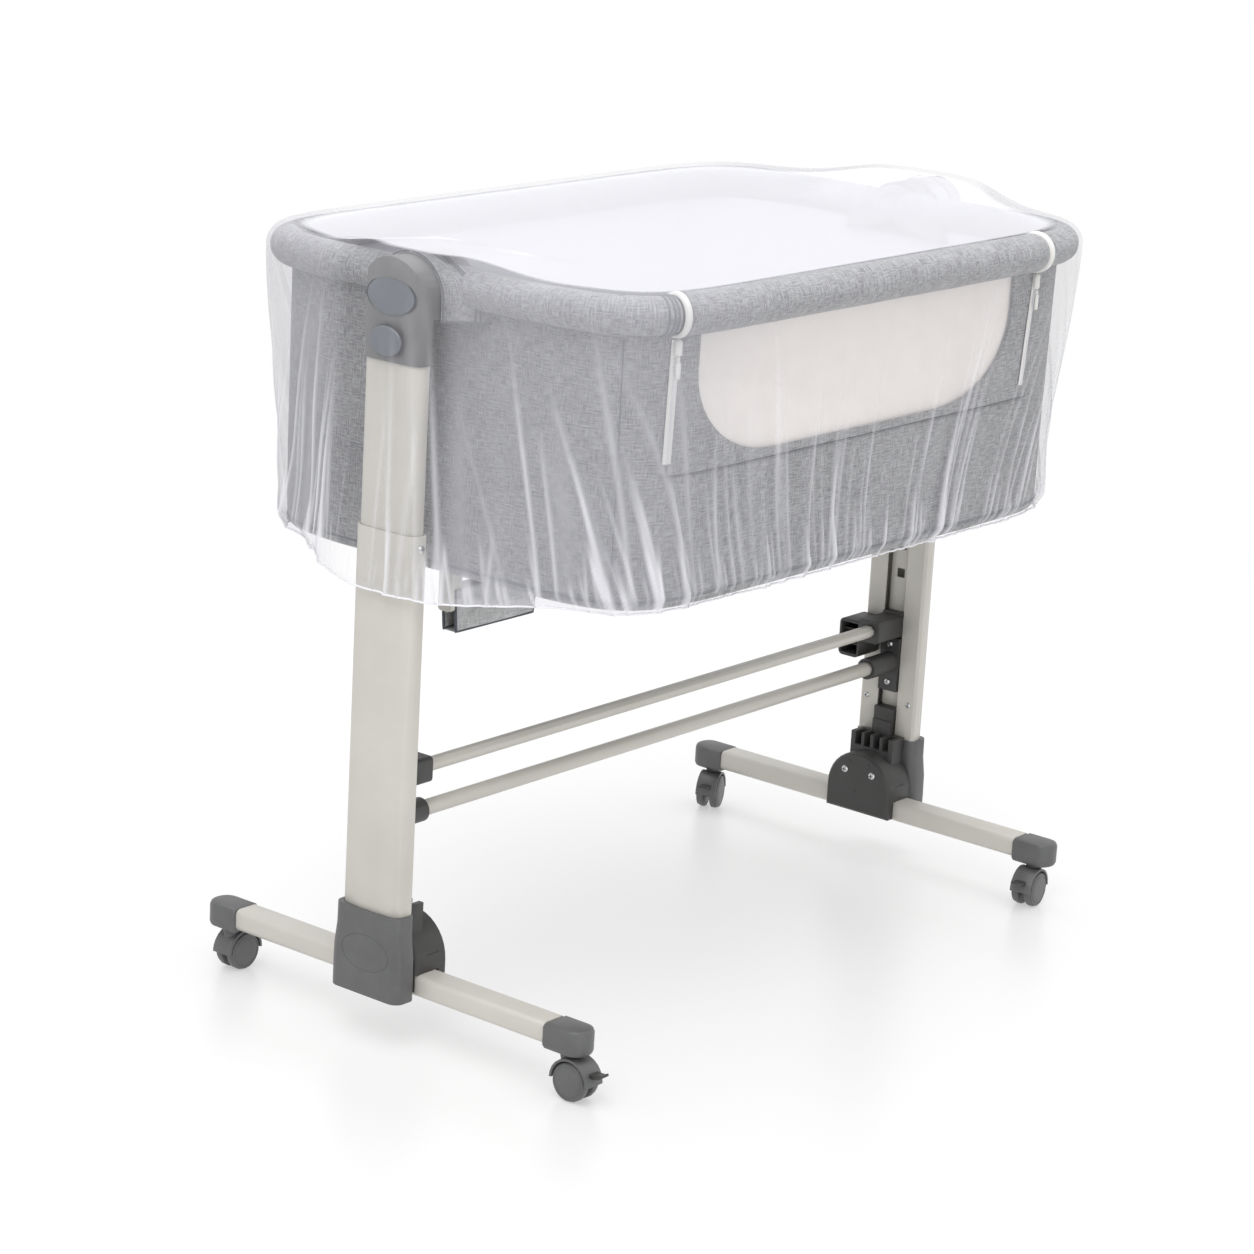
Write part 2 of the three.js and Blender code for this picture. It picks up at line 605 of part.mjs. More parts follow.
function basketWall() {
  const floor = reshaped(rise(tub(0), WALL_BOTTOM, WALL_BOTTOM + FLOOR_THICKNESS), drawIn);
  const opening = box(ZIP_LEFT - GAP, ZIP_RIGHT + GAP, -400, 0, DROP_HINGE_Z, WALL_TOP + 10);
  const notches = [-1, 1].map((way) => {
    const x = way * WALL_A;
    return box(x - 30, x + 30, -RIM_AT_HOUSING, RIM_AT_HOUSING, HOUSING_ARM_Z - 2, WALL_TOP + 10);
  });
  return cut(join(wallRing(0, WALL_THICKNESS, WALL_BOTTOM, WALL_TOP), floor), opening, ...notches);
}

function sidePanel() {
  const span = box(ZIP_LEFT, ZIP_RIGHT, -400, 0, DROP_HINGE_Z + GAP, WALL_TOP + 10);
  return cut(common(wallRing(0, WALL_THICKNESS, WALL_BOTTOM, WALL_TOP), span), windowRoom(0));
}

const windowMesh = () => common(wallRing(1.5, 3, DROP_HINGE_Z, WALL_TOP), windowRoom(GAP));

function boardSolid(inset, z0, z1, bevel = 0) {
  return rise(tub(WALL_THICKNESS + inset), z0, z1, { bevel, rounding: 1 });
}

const boardBottom = WALL_BOTTOM + FLOOR_THICKNESS + GAP;
const mattressBottom = boardBottom + BOARD_THICKNESS + GAP;
const mattressTop = mattressBottom + MATTRESS_THICKNESS;
place(bassinet, "basket_wall", basketWall(), GREY_FABRIC);
place(bassinet, "side_panel", sidePanel(), GREY_FABRIC);
place(bassinet, "window_mesh", windowMesh(), LIGHT_FABRIC);
place(bassinet, "base_board", boardSolid(6, boardBottom, boardBottom + BOARD_THICKNESS), BOARD);
place(bassinet, "mattress", boardSolid(9, mattressBottom, mattressTop, 8), WHITE_FABRIC);

// ---- Under the basket: a bar on two brackets, with a small storage sleeve hung on it ----
function baseBar() {
  const bar = alongX(rise(plan(9, 10, 4), -BASE_BAR_X, BASE_BAR_X, { segments: 3 })).translate(0, 0, BASE_BAR_Z);
  const brackets = [-1, 1].map((way) => {
    const x = way * (BASE_BAR_X - 8);
    return box(x - 8, x + 8, -9, 9, BASE_BAR_Z + 4, WALL_BOTTOM - GAP);
  });
  return join(bar, ...brackets);
}

function storageSleeve() {
  const outside = box(-366, -237, -12.5, 12.5, 427, 473);
  const inside = box(-380, -220, -10.5, 10.5, 429, 480);
  return cut(outside, inside);
}

place(bassinet, "base_bar", baseBar(), IVORY);
place(bassinet, "storage_sleeve", storageSleeve(), DARK_PLASTIC);

// ---- Mosquito net: a thin cap over the rim and the posts, with a gathered hem under the basket ----
// The hem is drawn in towards the basket, but not where the net passes over a post.
const netFlow = (x, y, z) => {
  const start = RIM_Z - RIM_PAD_RADIUS;
  const down = Math.max(0, (start - z) / (start - NET_BOTTOM));
  const post = 1 - THREE.MathUtils.smoothstep(Math.abs(y), 46, 160);
  return [x * (1 - 0.05 * down * (1 - post)) + Math.sign(x) * post * NET_REACH, y * (1 - 0.08 * down)];
};

function netShell(inset, bottom, top) {
  const outline = ovalPlan(NET_A - inset, NET_B - inset, OVAL_POWERS, 64);
  return reshaped(rise(outline, bottom, top, { steps: 2, bevel: 14 }), netFlow);
}

function net() {
  const outside = netShell(0, NET_BOTTOM - 30, NET_TOP);
  const inside = netShell(NET_THICKNESS, NET_BOTTOM - 32, NET_TOP - NET_THICKNESS);
  return cut(outside, inside, box(-600, 600, -400, 400, 0, NET_BOTTOM));
}

place(bassinet, "net", net(), WHITE_FABRIC);

export default bassinet;
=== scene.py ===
"""A bassinet on a wheeled stand: soft pieces, materials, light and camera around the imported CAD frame."""
import json
import math
import random

import bpy
import numpy as np
from mathutils import Matrix, Vector, noise


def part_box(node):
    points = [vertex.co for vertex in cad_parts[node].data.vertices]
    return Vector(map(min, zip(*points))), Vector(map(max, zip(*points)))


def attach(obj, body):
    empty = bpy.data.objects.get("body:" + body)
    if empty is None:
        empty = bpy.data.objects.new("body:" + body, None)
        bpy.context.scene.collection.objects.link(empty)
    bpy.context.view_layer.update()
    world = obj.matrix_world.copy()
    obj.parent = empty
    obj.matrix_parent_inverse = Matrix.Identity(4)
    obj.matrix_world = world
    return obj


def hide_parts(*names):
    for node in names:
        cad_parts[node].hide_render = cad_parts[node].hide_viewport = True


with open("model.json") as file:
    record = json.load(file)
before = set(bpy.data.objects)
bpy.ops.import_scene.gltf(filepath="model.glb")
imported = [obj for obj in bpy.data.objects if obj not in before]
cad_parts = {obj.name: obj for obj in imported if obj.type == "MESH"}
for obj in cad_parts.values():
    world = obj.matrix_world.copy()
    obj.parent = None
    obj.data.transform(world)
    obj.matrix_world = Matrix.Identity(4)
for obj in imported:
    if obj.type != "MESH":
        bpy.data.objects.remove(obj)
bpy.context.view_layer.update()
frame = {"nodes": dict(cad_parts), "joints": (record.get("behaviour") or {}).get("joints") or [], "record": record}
NODES = frame["nodes"]

# ---- Dimensions, in metres, many of them from the boxes of CAD nodes ----
rim_low, rim_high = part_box("rim_tube")
wall_low, wall_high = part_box("basket_wall")
panel_low, panel_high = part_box("side_panel")
window_low, window_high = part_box("window_mesh")
mattress_low, mattress_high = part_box("mattress")
sleeve_low, sleeve_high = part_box("storage_sleeve")
net_low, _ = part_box("net")
housing_low, housing_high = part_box("housing_right")

TUBE_RADIUS = 0.009
RIM_A = rim_high.x - TUBE_RADIUS
RIM_B = rim_high.y - TUBE_RADIUS
RIM_Z = (rim_low.z + rim_high.z) / 2
PAD_RADIUS = 0.0195
SIDE_PAD_RADIUS = 0.0215
PAD_END_Y = 0.0435  # where the padding stops either side of a post
POWERS = (10, 5.6)  # squareness of the rim and of everything that follows it
WALL_A = wall_high.x
WALL_B = wall_high.y
WALL_TOP = wall_high.z
WALL_BOTTOM = wall_low.z
CLOTH_TOP = WALL_TOP + 0.009  # the cloth runs on up into the padding
HINGE_Z = panel_low.z
ZIP_LEFT = panel_low.x
ZIP_RIGHT = panel_high.x
WINDOW_X = (window_low.x + window_high.x) / 2
WINDOW_HALF = (window_high.x - window_low.x) / 2 + 0.0003
WINDOW_BOTTOM = window_low.z - 0.0003
CORNER_RISE = 0.095  # height of the window's curved lower corners
CORNER_START = 0.13
POST_HALF = 0.041
POST_OUTER_X = housing_high.x
WALL_BY_POST = housing_low.z + 0.044  # top of the wall cloth beside a post, under the housing arm
TAPER_X, TAPER_Y = 0.0095, 0.0075  # how much the wall draws in by its bottom, as shares
MERGE = 0.00002  # points closer than this become one
CENTRE = 0.001  # how small the innermost ring of a flat oval of cloth is, as a share of the oval


# ---- Mesh building ----
class Builder:
    """Collects grids of points into one mesh, with a UV map in metres."""

    def __init__(self):
        self.points = []
        self.faces = []
        self.uvs = []
        self.width = 0.0  # the longest row so far
        self.area = 0.0

    def grid(self, points, u=None, v=None, close=False, flip=False):
        """Adds a grid of rows by columns; close joins the last column to the first."""
        rows, columns = points.shape[:2]
        start = len(self.points)
        self.points += [tuple(p) for p in points.reshape(-1, 3)]
        spans = columns if close else columns - 1
        whole = np.concatenate([points, points[:, :1]], axis=1) if close else points
        diagonals = np.cross(whole[1:, :-1] - whole[:-1, 1:], whole[1:, 1:] - whole[:-1, :-1])
        self.area += float(np.linalg.norm(diagonals, axis=-1).sum()) / 2
        self.width = max([self.width] + [float(lengths_along(row)[-1]) for row in whole])
        u = np.arange(spans + 1) * 0.004 if u is None else u
        v = np.arange(rows) * 0.004 if v is None else v
        for i in range(rows - 1):
            for j in range(spans):
                k = (j + 1) % columns
                corners = [(i, j, j), (i, k, j + 1), (i + 1, k, j + 1), (i + 1, j, j)]
                corners = corners[::-1] if flip else corners
                self.faces.append([start + row * columns + column for row, column, _ in corners])
                self.uvs += [(u[c], v[row]) for row, _, c in corners]

    def cap(self, loop, flip=False):
        """Closes a loop of points with one face."""
        start = len(self.points)
        self.points += [tuple(p) for p in loop]
        order = list(range(start, start + len(loop)))
        self.faces.append(order[::-1] if flip else order)
        self.uvs += [(loop[i - start][0], loop[i - start][1]) for i in self.faces[-1]]

    def build(self, name, material, body, slot=None, merge=True):
        """Makes the object, and lets it ride on a CAD body."""
        mesh = bpy.data.meshes.new(name)
        mesh.from_pydata(self.points, [], self.faces)
        layer = mesh.uv_layers.new(name="UVMap")
        layer.data.foreach_set("uv", np.array(self.uvs, np.float32).ravel())
        mesh.polygons.foreach_set("use_smooth", [True] * len(mesh.polygons))
        mesh.materials.append(material)
        obj = add_object(name, mesh)
        if merge:
            weld = obj.modifiers.new("weld", "WELD")
            weld.merge_threshold = MERGE
        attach(obj, body)
        return obj


def unit(v):
    return v / np.maximum(np.linalg.norm(v, axis=-1, keepdims=True), 1e-12)


def circle(count):
    """Even angles round a circle."""
    return np.linspace(0, 2 * math.pi, count, endpoint=False)


def smooth_step(value, low, high):
    t = np.clip((value - low) / (high - low), 0, 1)
    return t * t * (3 - 2 * t)


def lengths_along(points):
    """Distance from the first point to each one, along the line."""
    steps = np.linalg.norm(np.diff(points, axis=0), axis=1)
    return np.concatenate([[0], np.cumsum(steps)])


def resample(points, count):
    """The same line, with evenly spaced points."""
    along = lengths_along(points)
    wanted = np.linspace(0, along[-1], count)
    return np.stack([np.interp(wanted, along, points[:, i]) for i in range(points.shape[1])], axis=1)


def level(line, z):
    """A plan line at one height."""
    return np.column_stack([line, np.full(len(line), z)])


def oval(a, b, count=2400):
    """The basket's plan outline, anticlockwise from the middle of its right end, closed."""
    angle = np.linspace(0, 2 * math.pi, count)
    c, s = np.cos(angle), np.sin(angle)
    x = a * np.sign(c) * np.abs(c) ** (2 / POWERS[0])
    y = b * np.sign(s) * np.abs(s) ** (2 / POWERS[1])
    return np.stack([x, y], axis=1)


def thicken(obj, thickness, offset=-1):
    """Thickens a surface, inwards for an offset of -1 and outwards for 1."""
    solidify = obj.modifiers.new("thickness", "SOLIDIFY")
    solidify.thickness = thickness
    solidify.offset = offset


def add_object(name, data):
    obj = bpy.data.objects.new(name, data)
    bpy.context.scene.collection.objects.link(obj)
    return obj


def tube(builder, path, radius, sides, closed=False, radii=None):
    """Sweeps a round section along a path; radii gives a radius at each point and angle."""
    path = np.asarray(path, float)
    if closed:
        tangent = unit(np.roll(path, -1, axis=0) - np.roll(path, 1, axis=0))
    else:
        tangent = unit(np.gradient(path, axis=0))
    up = np.array([0, 0, 1.0]) if abs(tangent[:, 2]).max() < 0.9 else np.array([0, 1.0, 0])
    across = unit(np.cross(tangent, up))
    over = np.cross(across, tangent)
    angle = circle(sides)
    size = np.full((len(path), sides), radius) if radii is None else radii
    ring = across[:, None] * np.cos(angle)[None, :, None] + over[:, None] * np.sin(angle)[None, :, None]
    points = path[:, None] + ring * size[:, :, None]
    v = lengths_along(path)
    if closed:
        points = np.concatenate([points, points[:1]])
        v = np.append(v, v[-1] + np.linalg.norm(path[0] - path[-1]))
    builder.grid(points, u=np.linspace(0, 2 * math.pi * radius, sides + 1), v=v, close=True, flip=True)
    if not closed:
        builder.cap(points[0])
        builder.cap(points[-1], flip=True)
    return builder


def ripple(x, y, z, scale, seed):
    """Smooth repeatable noise from -1 to 1 at a point."""
    return noise.noise(Vector((x * scale[0] + seed, y * scale[1] - seed, z * scale[2] + 2 * seed)))


def turned(points, centre, axis):
    """Points made round the z axis, turned to face along an axis and moved to a centre."""
    turn = Vector((0, 0, 1)).rotation_difference(Vector(axis)).to_matrix()
    return np.asarray(points) @ np.array(turn).T + np.array(centre)


def lathe(builder, profile, centre, axis, sides):
    """Turns a profile of (radius, height) pairs round an axis."""
    angle = circle(sides)
    rows = [np.stack([r * np.cos(angle), r * np.sin(angle), np.full(sides, h)], axis=1) for r, h in profile]
    builder.grid(turned(np.array(rows), centre, axis), close=True)


# ---- Materials ----
class Paint:
    """One Principled material and short ways to add nodes to it."""

    def __init__(self, name, roughness=0.5, **sockets):
        self.material = bpy.data.materials.new(name)
        self.material.use_nodes = True
        self.nodes = self.material.node_tree.nodes
        self.links = self.material.node_tree.links
        self.shader = self.nodes["Principled BSDF"]
        self.shader.inputs["Roughness"].default_value = roughness
        for socket, value in sockets.items():
            self.shader.inputs[socket.replace("_", " ")].default_value = value

    def node(self, kind, inputs=(), **settings):
        made = self.nodes.new("ShaderNode" + kind)
        for key, value in settings.items():
            setattr(made, key, value)
        for key, value in dict(inputs).items():
            socket = made.inputs[key]
            if isinstance(value, bpy.types.NodeSocket):
                self.links.new(value, socket)
            else:
                socket.default_value = value
        return made

    def scaled(self, source, scale):
        """A coordinate multiplied by a scale for each axis."""
        return self.node("VectorMath", {0: source, 1: scale}, operation="MULTIPLY").outputs[0]

    def noise(self, vector, detail=3.0, roughness=0.6):
        inputs = {"Vector": vector, "Scale": 1.0, "Detail": detail, "Roughness": roughness}
        return self.node("TexNoise", inputs).outputs["Fac"]

    def weave(self, vector):
        """Alternate squares, one for each unit of the vector."""
        return self.node("TexChecker", {"Vector": vector, "Scale": 1.0}).outputs["Fac"]

    def between(self, value, low, high, to_low=0.0, to_high=1.0):
        """Maps low..high to to_low..to_high, and holds it there."""
        inputs = {"Value": value, 1: low, 2: high, 3: to_low, 4: to_high}
        return self.node("MapRange", inputs).outputs[0]

    def maths(self, operation, a, b=0.0):
        return self.node("Math", {0: a, 1: b}, operation=operation).outputs[0]

    def colours(self, fac, first, second):
        mix = self.node("Mix", {0: fac, 6: (*first, 1), 7: (*second, 1)}, data_type="RGBA")
        return mix.outputs[2]

    def shade(self, colour):
        self.links.new(colour, self.shader.inputs["Base Color"])

    def drift(self, fac, first, second):
        """A colour that wanders between two with a noise."""
        self.shade(self.colours(self.between(fac, 0.3, 0.7), first, second))

    def bump(self, height, distance, strength=1.0):
        inputs = {"Height": height, "Distance": distance, "Strength": strength}
        made = self.node("Bump", inputs)
        self.links.new(made.outputs[0], self.shader.inputs["Normal"])

    def object_space(self):
        return self.node("TexCoord").outputs["Object"]

    def uv(self):
        return self.node("UVMap", uv_map="UVMap").outputs[0]


def melange(name, dark, light):
    """Grey cloth woven from uneven yarns: short light and dark dashes along and across."""
    paint = Paint(name, roughness=0.92, Sheen_Weight=0.25, Sheen_Roughness=0.6)
    uv = paint.uv()
    along = paint.noise(paint.scaled(uv, (70, 620, 1)), detail=2.0)
    across = paint.noise(paint.scaled(uv, (620, 85, 1)), detail=2.0)
    cloudy = paint.noise(paint.scaled(uv, (16, 16, 1)), detail=2.0)
    dashes = paint.maths("MAXIMUM", paint.between(along, 0.5, 0.72), paint.between(across, 0.52, 0.74))
    darks = paint.maths("MINIMUM", paint.between(along, 0.28, 0.46), paint.between(across, 0.28, 0.46))
    tone = paint.maths("ADD", paint.maths("MULTIPLY", dashes, 0.55), paint.maths("MULTIPLY", darks, 0.45))
    tone = paint.maths("ADD", tone, paint.between(cloudy, 0.3, 0.7, -0.09, 0.09))
    paint.shade(paint.colours(tone, dark, light))
    weave = paint.weave(paint.scaled(uv, (900, 900, 1)))
    height = paint.maths("ADD", paint.maths("MULTIPLY", dashes, 0.7), paint.maths("MULTIPLY", weave, 0.3))
    paint.bump(height, 0.0004, 0.8)
    return paint.material


def moulded(name, colour, roughness, grain=0.00006):
    """Moulded plastic with a fine spark-eroded grain and a slightly uneven gloss."""
    paint = Paint(name, roughness=roughness)
    place = paint.object_space()
    fine = paint.noise(paint.scaled(place, (1400,) * 3), detail=3.0)
    broad = paint.noise(paint.scaled(place, (34,) * 3), detail=4.0)
    paint.drift(broad, toned(colour, 0.88), toned(colour, 1.1))
    rough = paint.between(broad, 0.3, 0.7, roughness - 0.06, roughness + 0.07)
    paint.links.new(rough, paint.shader.inputs["Roughness"])
    paint.bump(fine, grain, 0.7)
    return paint.material


def enamel(name, colour, roughness):
    """Powder-coated tube: a light orange peel and a faint drift of tone along it."""
    paint = Paint(name, roughness=roughness, Coat_Weight=0.12, Coat_Roughness=0.3)
    place = paint.object_space()
    peel = paint.noise(paint.scaled(place, (420,) * 3), detail=2.0)
    broad = paint.noise(paint.scaled(place, (9, 9, 14)), detail=3.0)
    paint.drift(broad, toned(colour, 0.95), toned(colour, 1.03))
    paint.bump(peel, 0.00012, 0.5)
    return paint.material


def sheer(name, colour, opacity, hole, thread=0.35, fold=0.0, lit_colour=None):
    """See-through mesh of fine threads; where two layers lie together, and over the net's top, fold adds opacity,
    and a lighter second colour, painted light, is its colour there.
    """
    paint = Paint(name, roughness=0.75, Sheen_Weight=0.2)
    uv = paint.uv()
    wave = paint.node("SeparateXYZ", {0: paint.scaled(uv, (math.pi / hole,) * 3)})
    lines = [paint.maths("ABSOLUTE", paint.maths("SINE", wave.outputs[i])) for i in (0, 1)]
    open_part = paint.maths("MULTIPLY", lines[0], lines[1])
    alpha = paint.between(open_part, 0.0, 1.0, opacity * (1 + thread), opacity * (1 - thread))
    if fold:
        # The fold attribute also mixes in the lighter colour, painted light on the net's top and folds.
        folds_and_top = paint.node("Attribute", attribute_name="fold").outputs["Fac"]
        # The second attribute is painted light: opacity that lightens the net at its ends.
        light_haze = paint.node("Attribute", attribute_name="light_haze").outputs["Fac"]
        alpha = paint.maths("ADD", alpha, paint.maths("MULTIPLY", folds_and_top, fold))
        alpha = paint.maths("ADD", alpha, light_haze)
        paint.shade(paint.colours(paint.between(folds_and_top, 0.0, 0.5), colour, lit_colour))
    else:
        slub = paint.noise(paint.scaled(uv, (30, 30, 1)), detail=3.0)
        paint.drift(slub, toned(colour, 0.95), colour)
    paint.links.new(paint.maths("MINIMUM", alpha, 1.0), paint.shader.inputs["Alpha"])
    return paint.material


def cloth(name, colour, pitch=0.0011, height=0.0002):
    """Plain light cloth with a fine visible weave."""
    paint = Paint(name, roughness=0.9, Sheen_Weight=0.2)
    uv = paint.uv()
    weave = paint.weave(paint.scaled(uv, (1 / pitch,) * 3))
    soft = paint.noise(paint.scaled(uv, (22, 22, 1)), detail=3.0)
    paint.drift(soft, toned(colour, 0.95), colour)
    paint.bump(weave, height, 0.6)
    return paint.material


def toned(colour, factor):
    return tuple(min(1, c * factor) for c in colour)


def mottled(name, first, second, roughness, scale, detail, relief, **sockets):
    """A colour that wanders between two, with a relief to match."""
    paint = Paint(name, roughness=roughness, **sockets)
    grain = paint.noise(paint.scaled(paint.object_space(), scale), detail=detail)
    paint.drift(grain, first, second)
    paint.bump(grain, *relief)
    return paint.material


METAL = ((0.55, 0.56, 0.57), (0.8, 0.81, 0.82))
WOOD = ((0.5, 0.44, 0.36), (0.66, 0.6, 0.5))
IVORY = enamel("ivory enamel", (0.555, 0.535, 0.49), 0.34)
DARK = moulded("dark grey plastic", (0.106, 0.107, 0.109), 0.4)
BLACK = moulded("black plastic", (0.042, 0.041, 0.04), 0.46)
HOUSING = moulded("housing plastic", (0.172, 0.172, 0.173), 0.44)
BADGE = moulded("badge plastic", (0.14, 0.153, 0.176), 0.33, grain=0.00003)
# Painted shade: the dark colour of the thin ovals drawn where hubs and badges have grooves.
GROOVE_SHADE = moulded("groove shade", (0.06, 0.065, 0.075), 0.6)
GREY_CLOTH = melange("grey melange", (0.112, 0.115, 0.122), (0.445, 0.447, 0.458))
# Painted light: the padding's melange, also on the hoods, is a lighter copy of the wall's grey, for the padding's
# lit top.
PAD_CLOTH = melange("padding melange", (0.125, 0.128, 0.137), (0.48, 0.482, 0.495))
# The pocket's melange is lighter than the wall's: partly the pocket's own lighter grey, partly painted light
# against the shade under the basket.
FLAP_CLOTH = melange("flap melange", (0.3, 0.305, 0.31), (0.62, 0.625, 0.63))
BINDING = cloth("dark binding", (0.085, 0.095, 0.11))
PIPING = cloth("grey piping", (0.16, 0.17, 0.19))
LINING = cloth("white lining", (0.66, 0.66, 0.7))
MATTRESS = cloth("mattress cover", (0.7, 0.7, 0.72), pitch=0.0022, height=0.0004)
ZIP_TAPE = cloth("zip tape", (0.88, 0.87, 0.84))
THREAD = cloth("sewing thread", (0.3, 0.31, 0.33))
SEAM = cloth("seam shadow", (0.14, 0.145, 0.16))
ELASTIC = cloth("white elastic", (0.86, 0.86, 0.9))
WINDOW = sheer("window mesh", (0.91, 0.86, 0.825), 0.85, 0.0011, thread=0.1)
# Painted light: the net's lighter second colour, on its top and folds, is a lit copy of its grey.
NET = sheer("white net", (0.6, 0.6, 0.65), 0.1, 0.0014, thread=0.3, fold=0.6, lit_colour=(0.8, 0.8, 0.845))
SCREW = mottled("zinc screws", *METAL, 0.34, (800,) * 3, 3.0, (0.00005, 0.5), Metallic=1.0)
BOARD = mottled("pressed board", *WOOD, 0.8, (60, 900, 900), 4.0, (0.0001, 0.6))

# ---- CAD nodes: materials and softened edges ----
BY_SLOT = {
    "ivory_tube": IVORY,
    "dark_plastic": DARK,
    "black_plastic": BLACK,
    "grey_plastic": HOUSING,
    "badge_plastic": BADGE,
    "grey_fabric": GREY_CLOTH,
    "light_mesh": WINDOW,
    "white_fabric": MATTRESS,
    "white_net": NET,
    "board": BOARD,
}
for part in frame["record"]["subparts"]:
    node = NODES[part["node"]]
    node.data.materials.clear()
    node.data.materials.append(BY_SLOT[part["material_slot"]])
    node.data.polygons.foreach_set("use_smooth", [True] * len(node.data.polygons))
    weld = node.modifiers.new("weld", "WELD")
    weld.merge_threshold = MERGE
    bevel = node.modifiers.new("bevel", "BEVEL")
    bevel.width = 0.0009
    bevel.segments = 2
    bevel.limit_method = "ANGLE"
    bevel.angle_limit = math.radians(38)
    bevel.harden_normals = True
    bevel.use_clamp_overlap = True


# ---- The basket's wall ----
def taper(points):
    """Draws the wall in slightly towards its bottom."""
    down = (WALL_TOP - points[..., 2]) / (WALL_TOP - WALL_BOTTOM)
    made = points.copy()
    made[..., 0] *= 1 - TAPER_X * down
    made[..., 1] *= 1 - TAPER_Y * down
    return made


def front_y(x, inset):
    """The wall's y at x along its front, before the taper."""
    a, b = WALL_A - inset, WALL_B - inset
    return -b * (1 - np.minimum(np.abs(x) / a, 1) ** POWERS[0]) ** (1 / POWERS[1])


def crumple(points, amount, seed):
    """Moves points in plan, outward and inward, by soft wrinkles of the cloth."""
    made = points.copy()
    flat = made.reshape(-1, 3)
    outward = unit(flat[:, :2] * np.array([0.35, 1.0]))
    for i, (x, y, z) in enumerate(points.reshape(-1, 3)):
        drift = ripple(x, y, z, (9, 9, 4), seed) + 0.6 * ripple(x, y, z, (26, 26, 9), seed + 4)
        flat[i, :2] += outward[i] * amount * drift
    return made


def spans(inset, spacing):
    """The loop as two evenly divided stretches: the front between the zips, and the rest."""
    loop = oval(WALL_A - inset, WALL_B - inset)
    front = (loop[:, 1] < 0) & (loop[:, 0] > ZIP_LEFT) & (loop[:, 0] < ZIP_RIGHT)
    left = np.array([[ZIP_LEFT, front_y(ZIP_LEFT, inset)]])
    right = np.array([[ZIP_RIGHT, front_y(ZIP_RIGHT, inset)]])
    middle = np.concatenate([left, loop[front], right])
    last = np.argmax(front) + front.sum()
    rest = np.concatenate([right, loop[last:-1], loop[: np.argmax(front)], left])
    made = []
    for line in (middle, rest):
        made.append(resample(line, int(lengths_along(line)[-1] / spacing)))
    return made


def raised(line, heights):
    """Rows of a plan line at several heights."""
    return taper(np.array([level(line, z) for z in heights]))


def wall_cloth(name, inset, amount, seed, material, slot, spacing=0.006, floor=True):
    """A full band below the hinge line, the back and ends above it, and perhaps the floor."""
    builder = Builder()
    front, rest = spans(inset, spacing)
    low = np.linspace(WALL_BOTTOM + 0.004, HINGE_Z, 24)
    high = np.linspace(HINGE_Z, CLOTH_TOP, 24)
    around = np.concatenate([front[:-1], rest[:-1]])
    u = lengths_along(np.concatenate([around, around[:1]]))
    band = np.concatenate([raised(around * 0.99, [WALL_BOTTOM]), raised(around, low)])
    band = crumple(band, amount, seed)
    builder.grid(band, u=u, v=np.concatenate([[WALL_BOTTOM], low]), close=True)
    upper = raised(rest, high)
    by_post = np.abs(upper[..., 1]) < POST_HALF + 0.0035
    upper[..., 2] = np.where(by_post, np.minimum(upper[..., 2], WALL_BY_POST), upper[..., 2])
    upper = crumple(upper, amount, seed)
    builder.grid(upper, u=u[len(front) - 1 :], v=high)
    if floor:
        rings = []
        for share in np.linspace(1, CENTRE, 14):
            sag = 0.004 * (1 - share**2)
            rings.append(level(around * 0.99 * share, WALL_BOTTOM - sag))
        rings = taper(np.array(rings))
        rings[0] = band[0]
        builder.grid(rings, u=u, v=np.linspace(0, WALL_B, 14), close=True, flip=True)
    obj = builder.build(name, material, "basket", slot)
    thicken(obj, 0.0014)
    return obj, builder


wall, wall_size = wall_cloth("wall_cloth", 0.0, 0.0016, 3.0, GREY_CLOTH, "grey_fabric")
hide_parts("basket_wall")
lining, lining_size = wall_cloth(
    "wall_lining", 0.0035, 0.001, 8.0, LINING, "white_fabric", spacing=0.012, floor=False
)


def rim_line(spacing):
    """The rim tube's centre line, which is about 2.5 m long."""
    loop = oval(RIM_A, RIM_B)
    return resample(level(loop, RIM_Z), int(2.5 / spacing))


def on_wall(x, z, out=0.0):
    """A point on the outside of the front wall, and out from it."""
    x, z = np.asarray(x, float), np.asarray(z, float)
    down = (WALL_TOP - z) / (WALL_TOP - WALL_BOTTOM)
    y = front_y(x / (1 - TAPER_X * down), -out) * (1 - TAPER_Y * down)
    return np.stack([x, y, z], axis=-1)


def window_bottom(x):
    """Height of the window's lower edge at x."""
    side = np.abs(np.asarray(x, float) - WINDOW_X)
    edge = np.clip((side - CORNER_START) / (WINDOW_HALF - CORNER_START), 0, 1)
    return WINDOW_BOTTOM + CORNER_RISE * (1 - np.sqrt(np.clip(1 - edge**2.4, 0, 1)))


def window_outline(offset, count):
    """The window's edge from its top left, down, along and up to its top right."""
    half = WINDOW_HALF + offset
    inner = np.linspace(-1, 1, 401)
    x = WINDOW_X + half * np.sin(inner * math.pi / 2)
    z = window_bottom(WINDOW_X + (x - WINDOW_X) * WINDOW_HALF / half) - offset
    top_left = [[WINDOW_X - half, CLOTH_TOP]]
    top_right = [[WINDOW_X + half, CLOTH_TOP]]
    return resample(np.concatenate([top_left, np.column_stack([x, z]), top_right]), count)


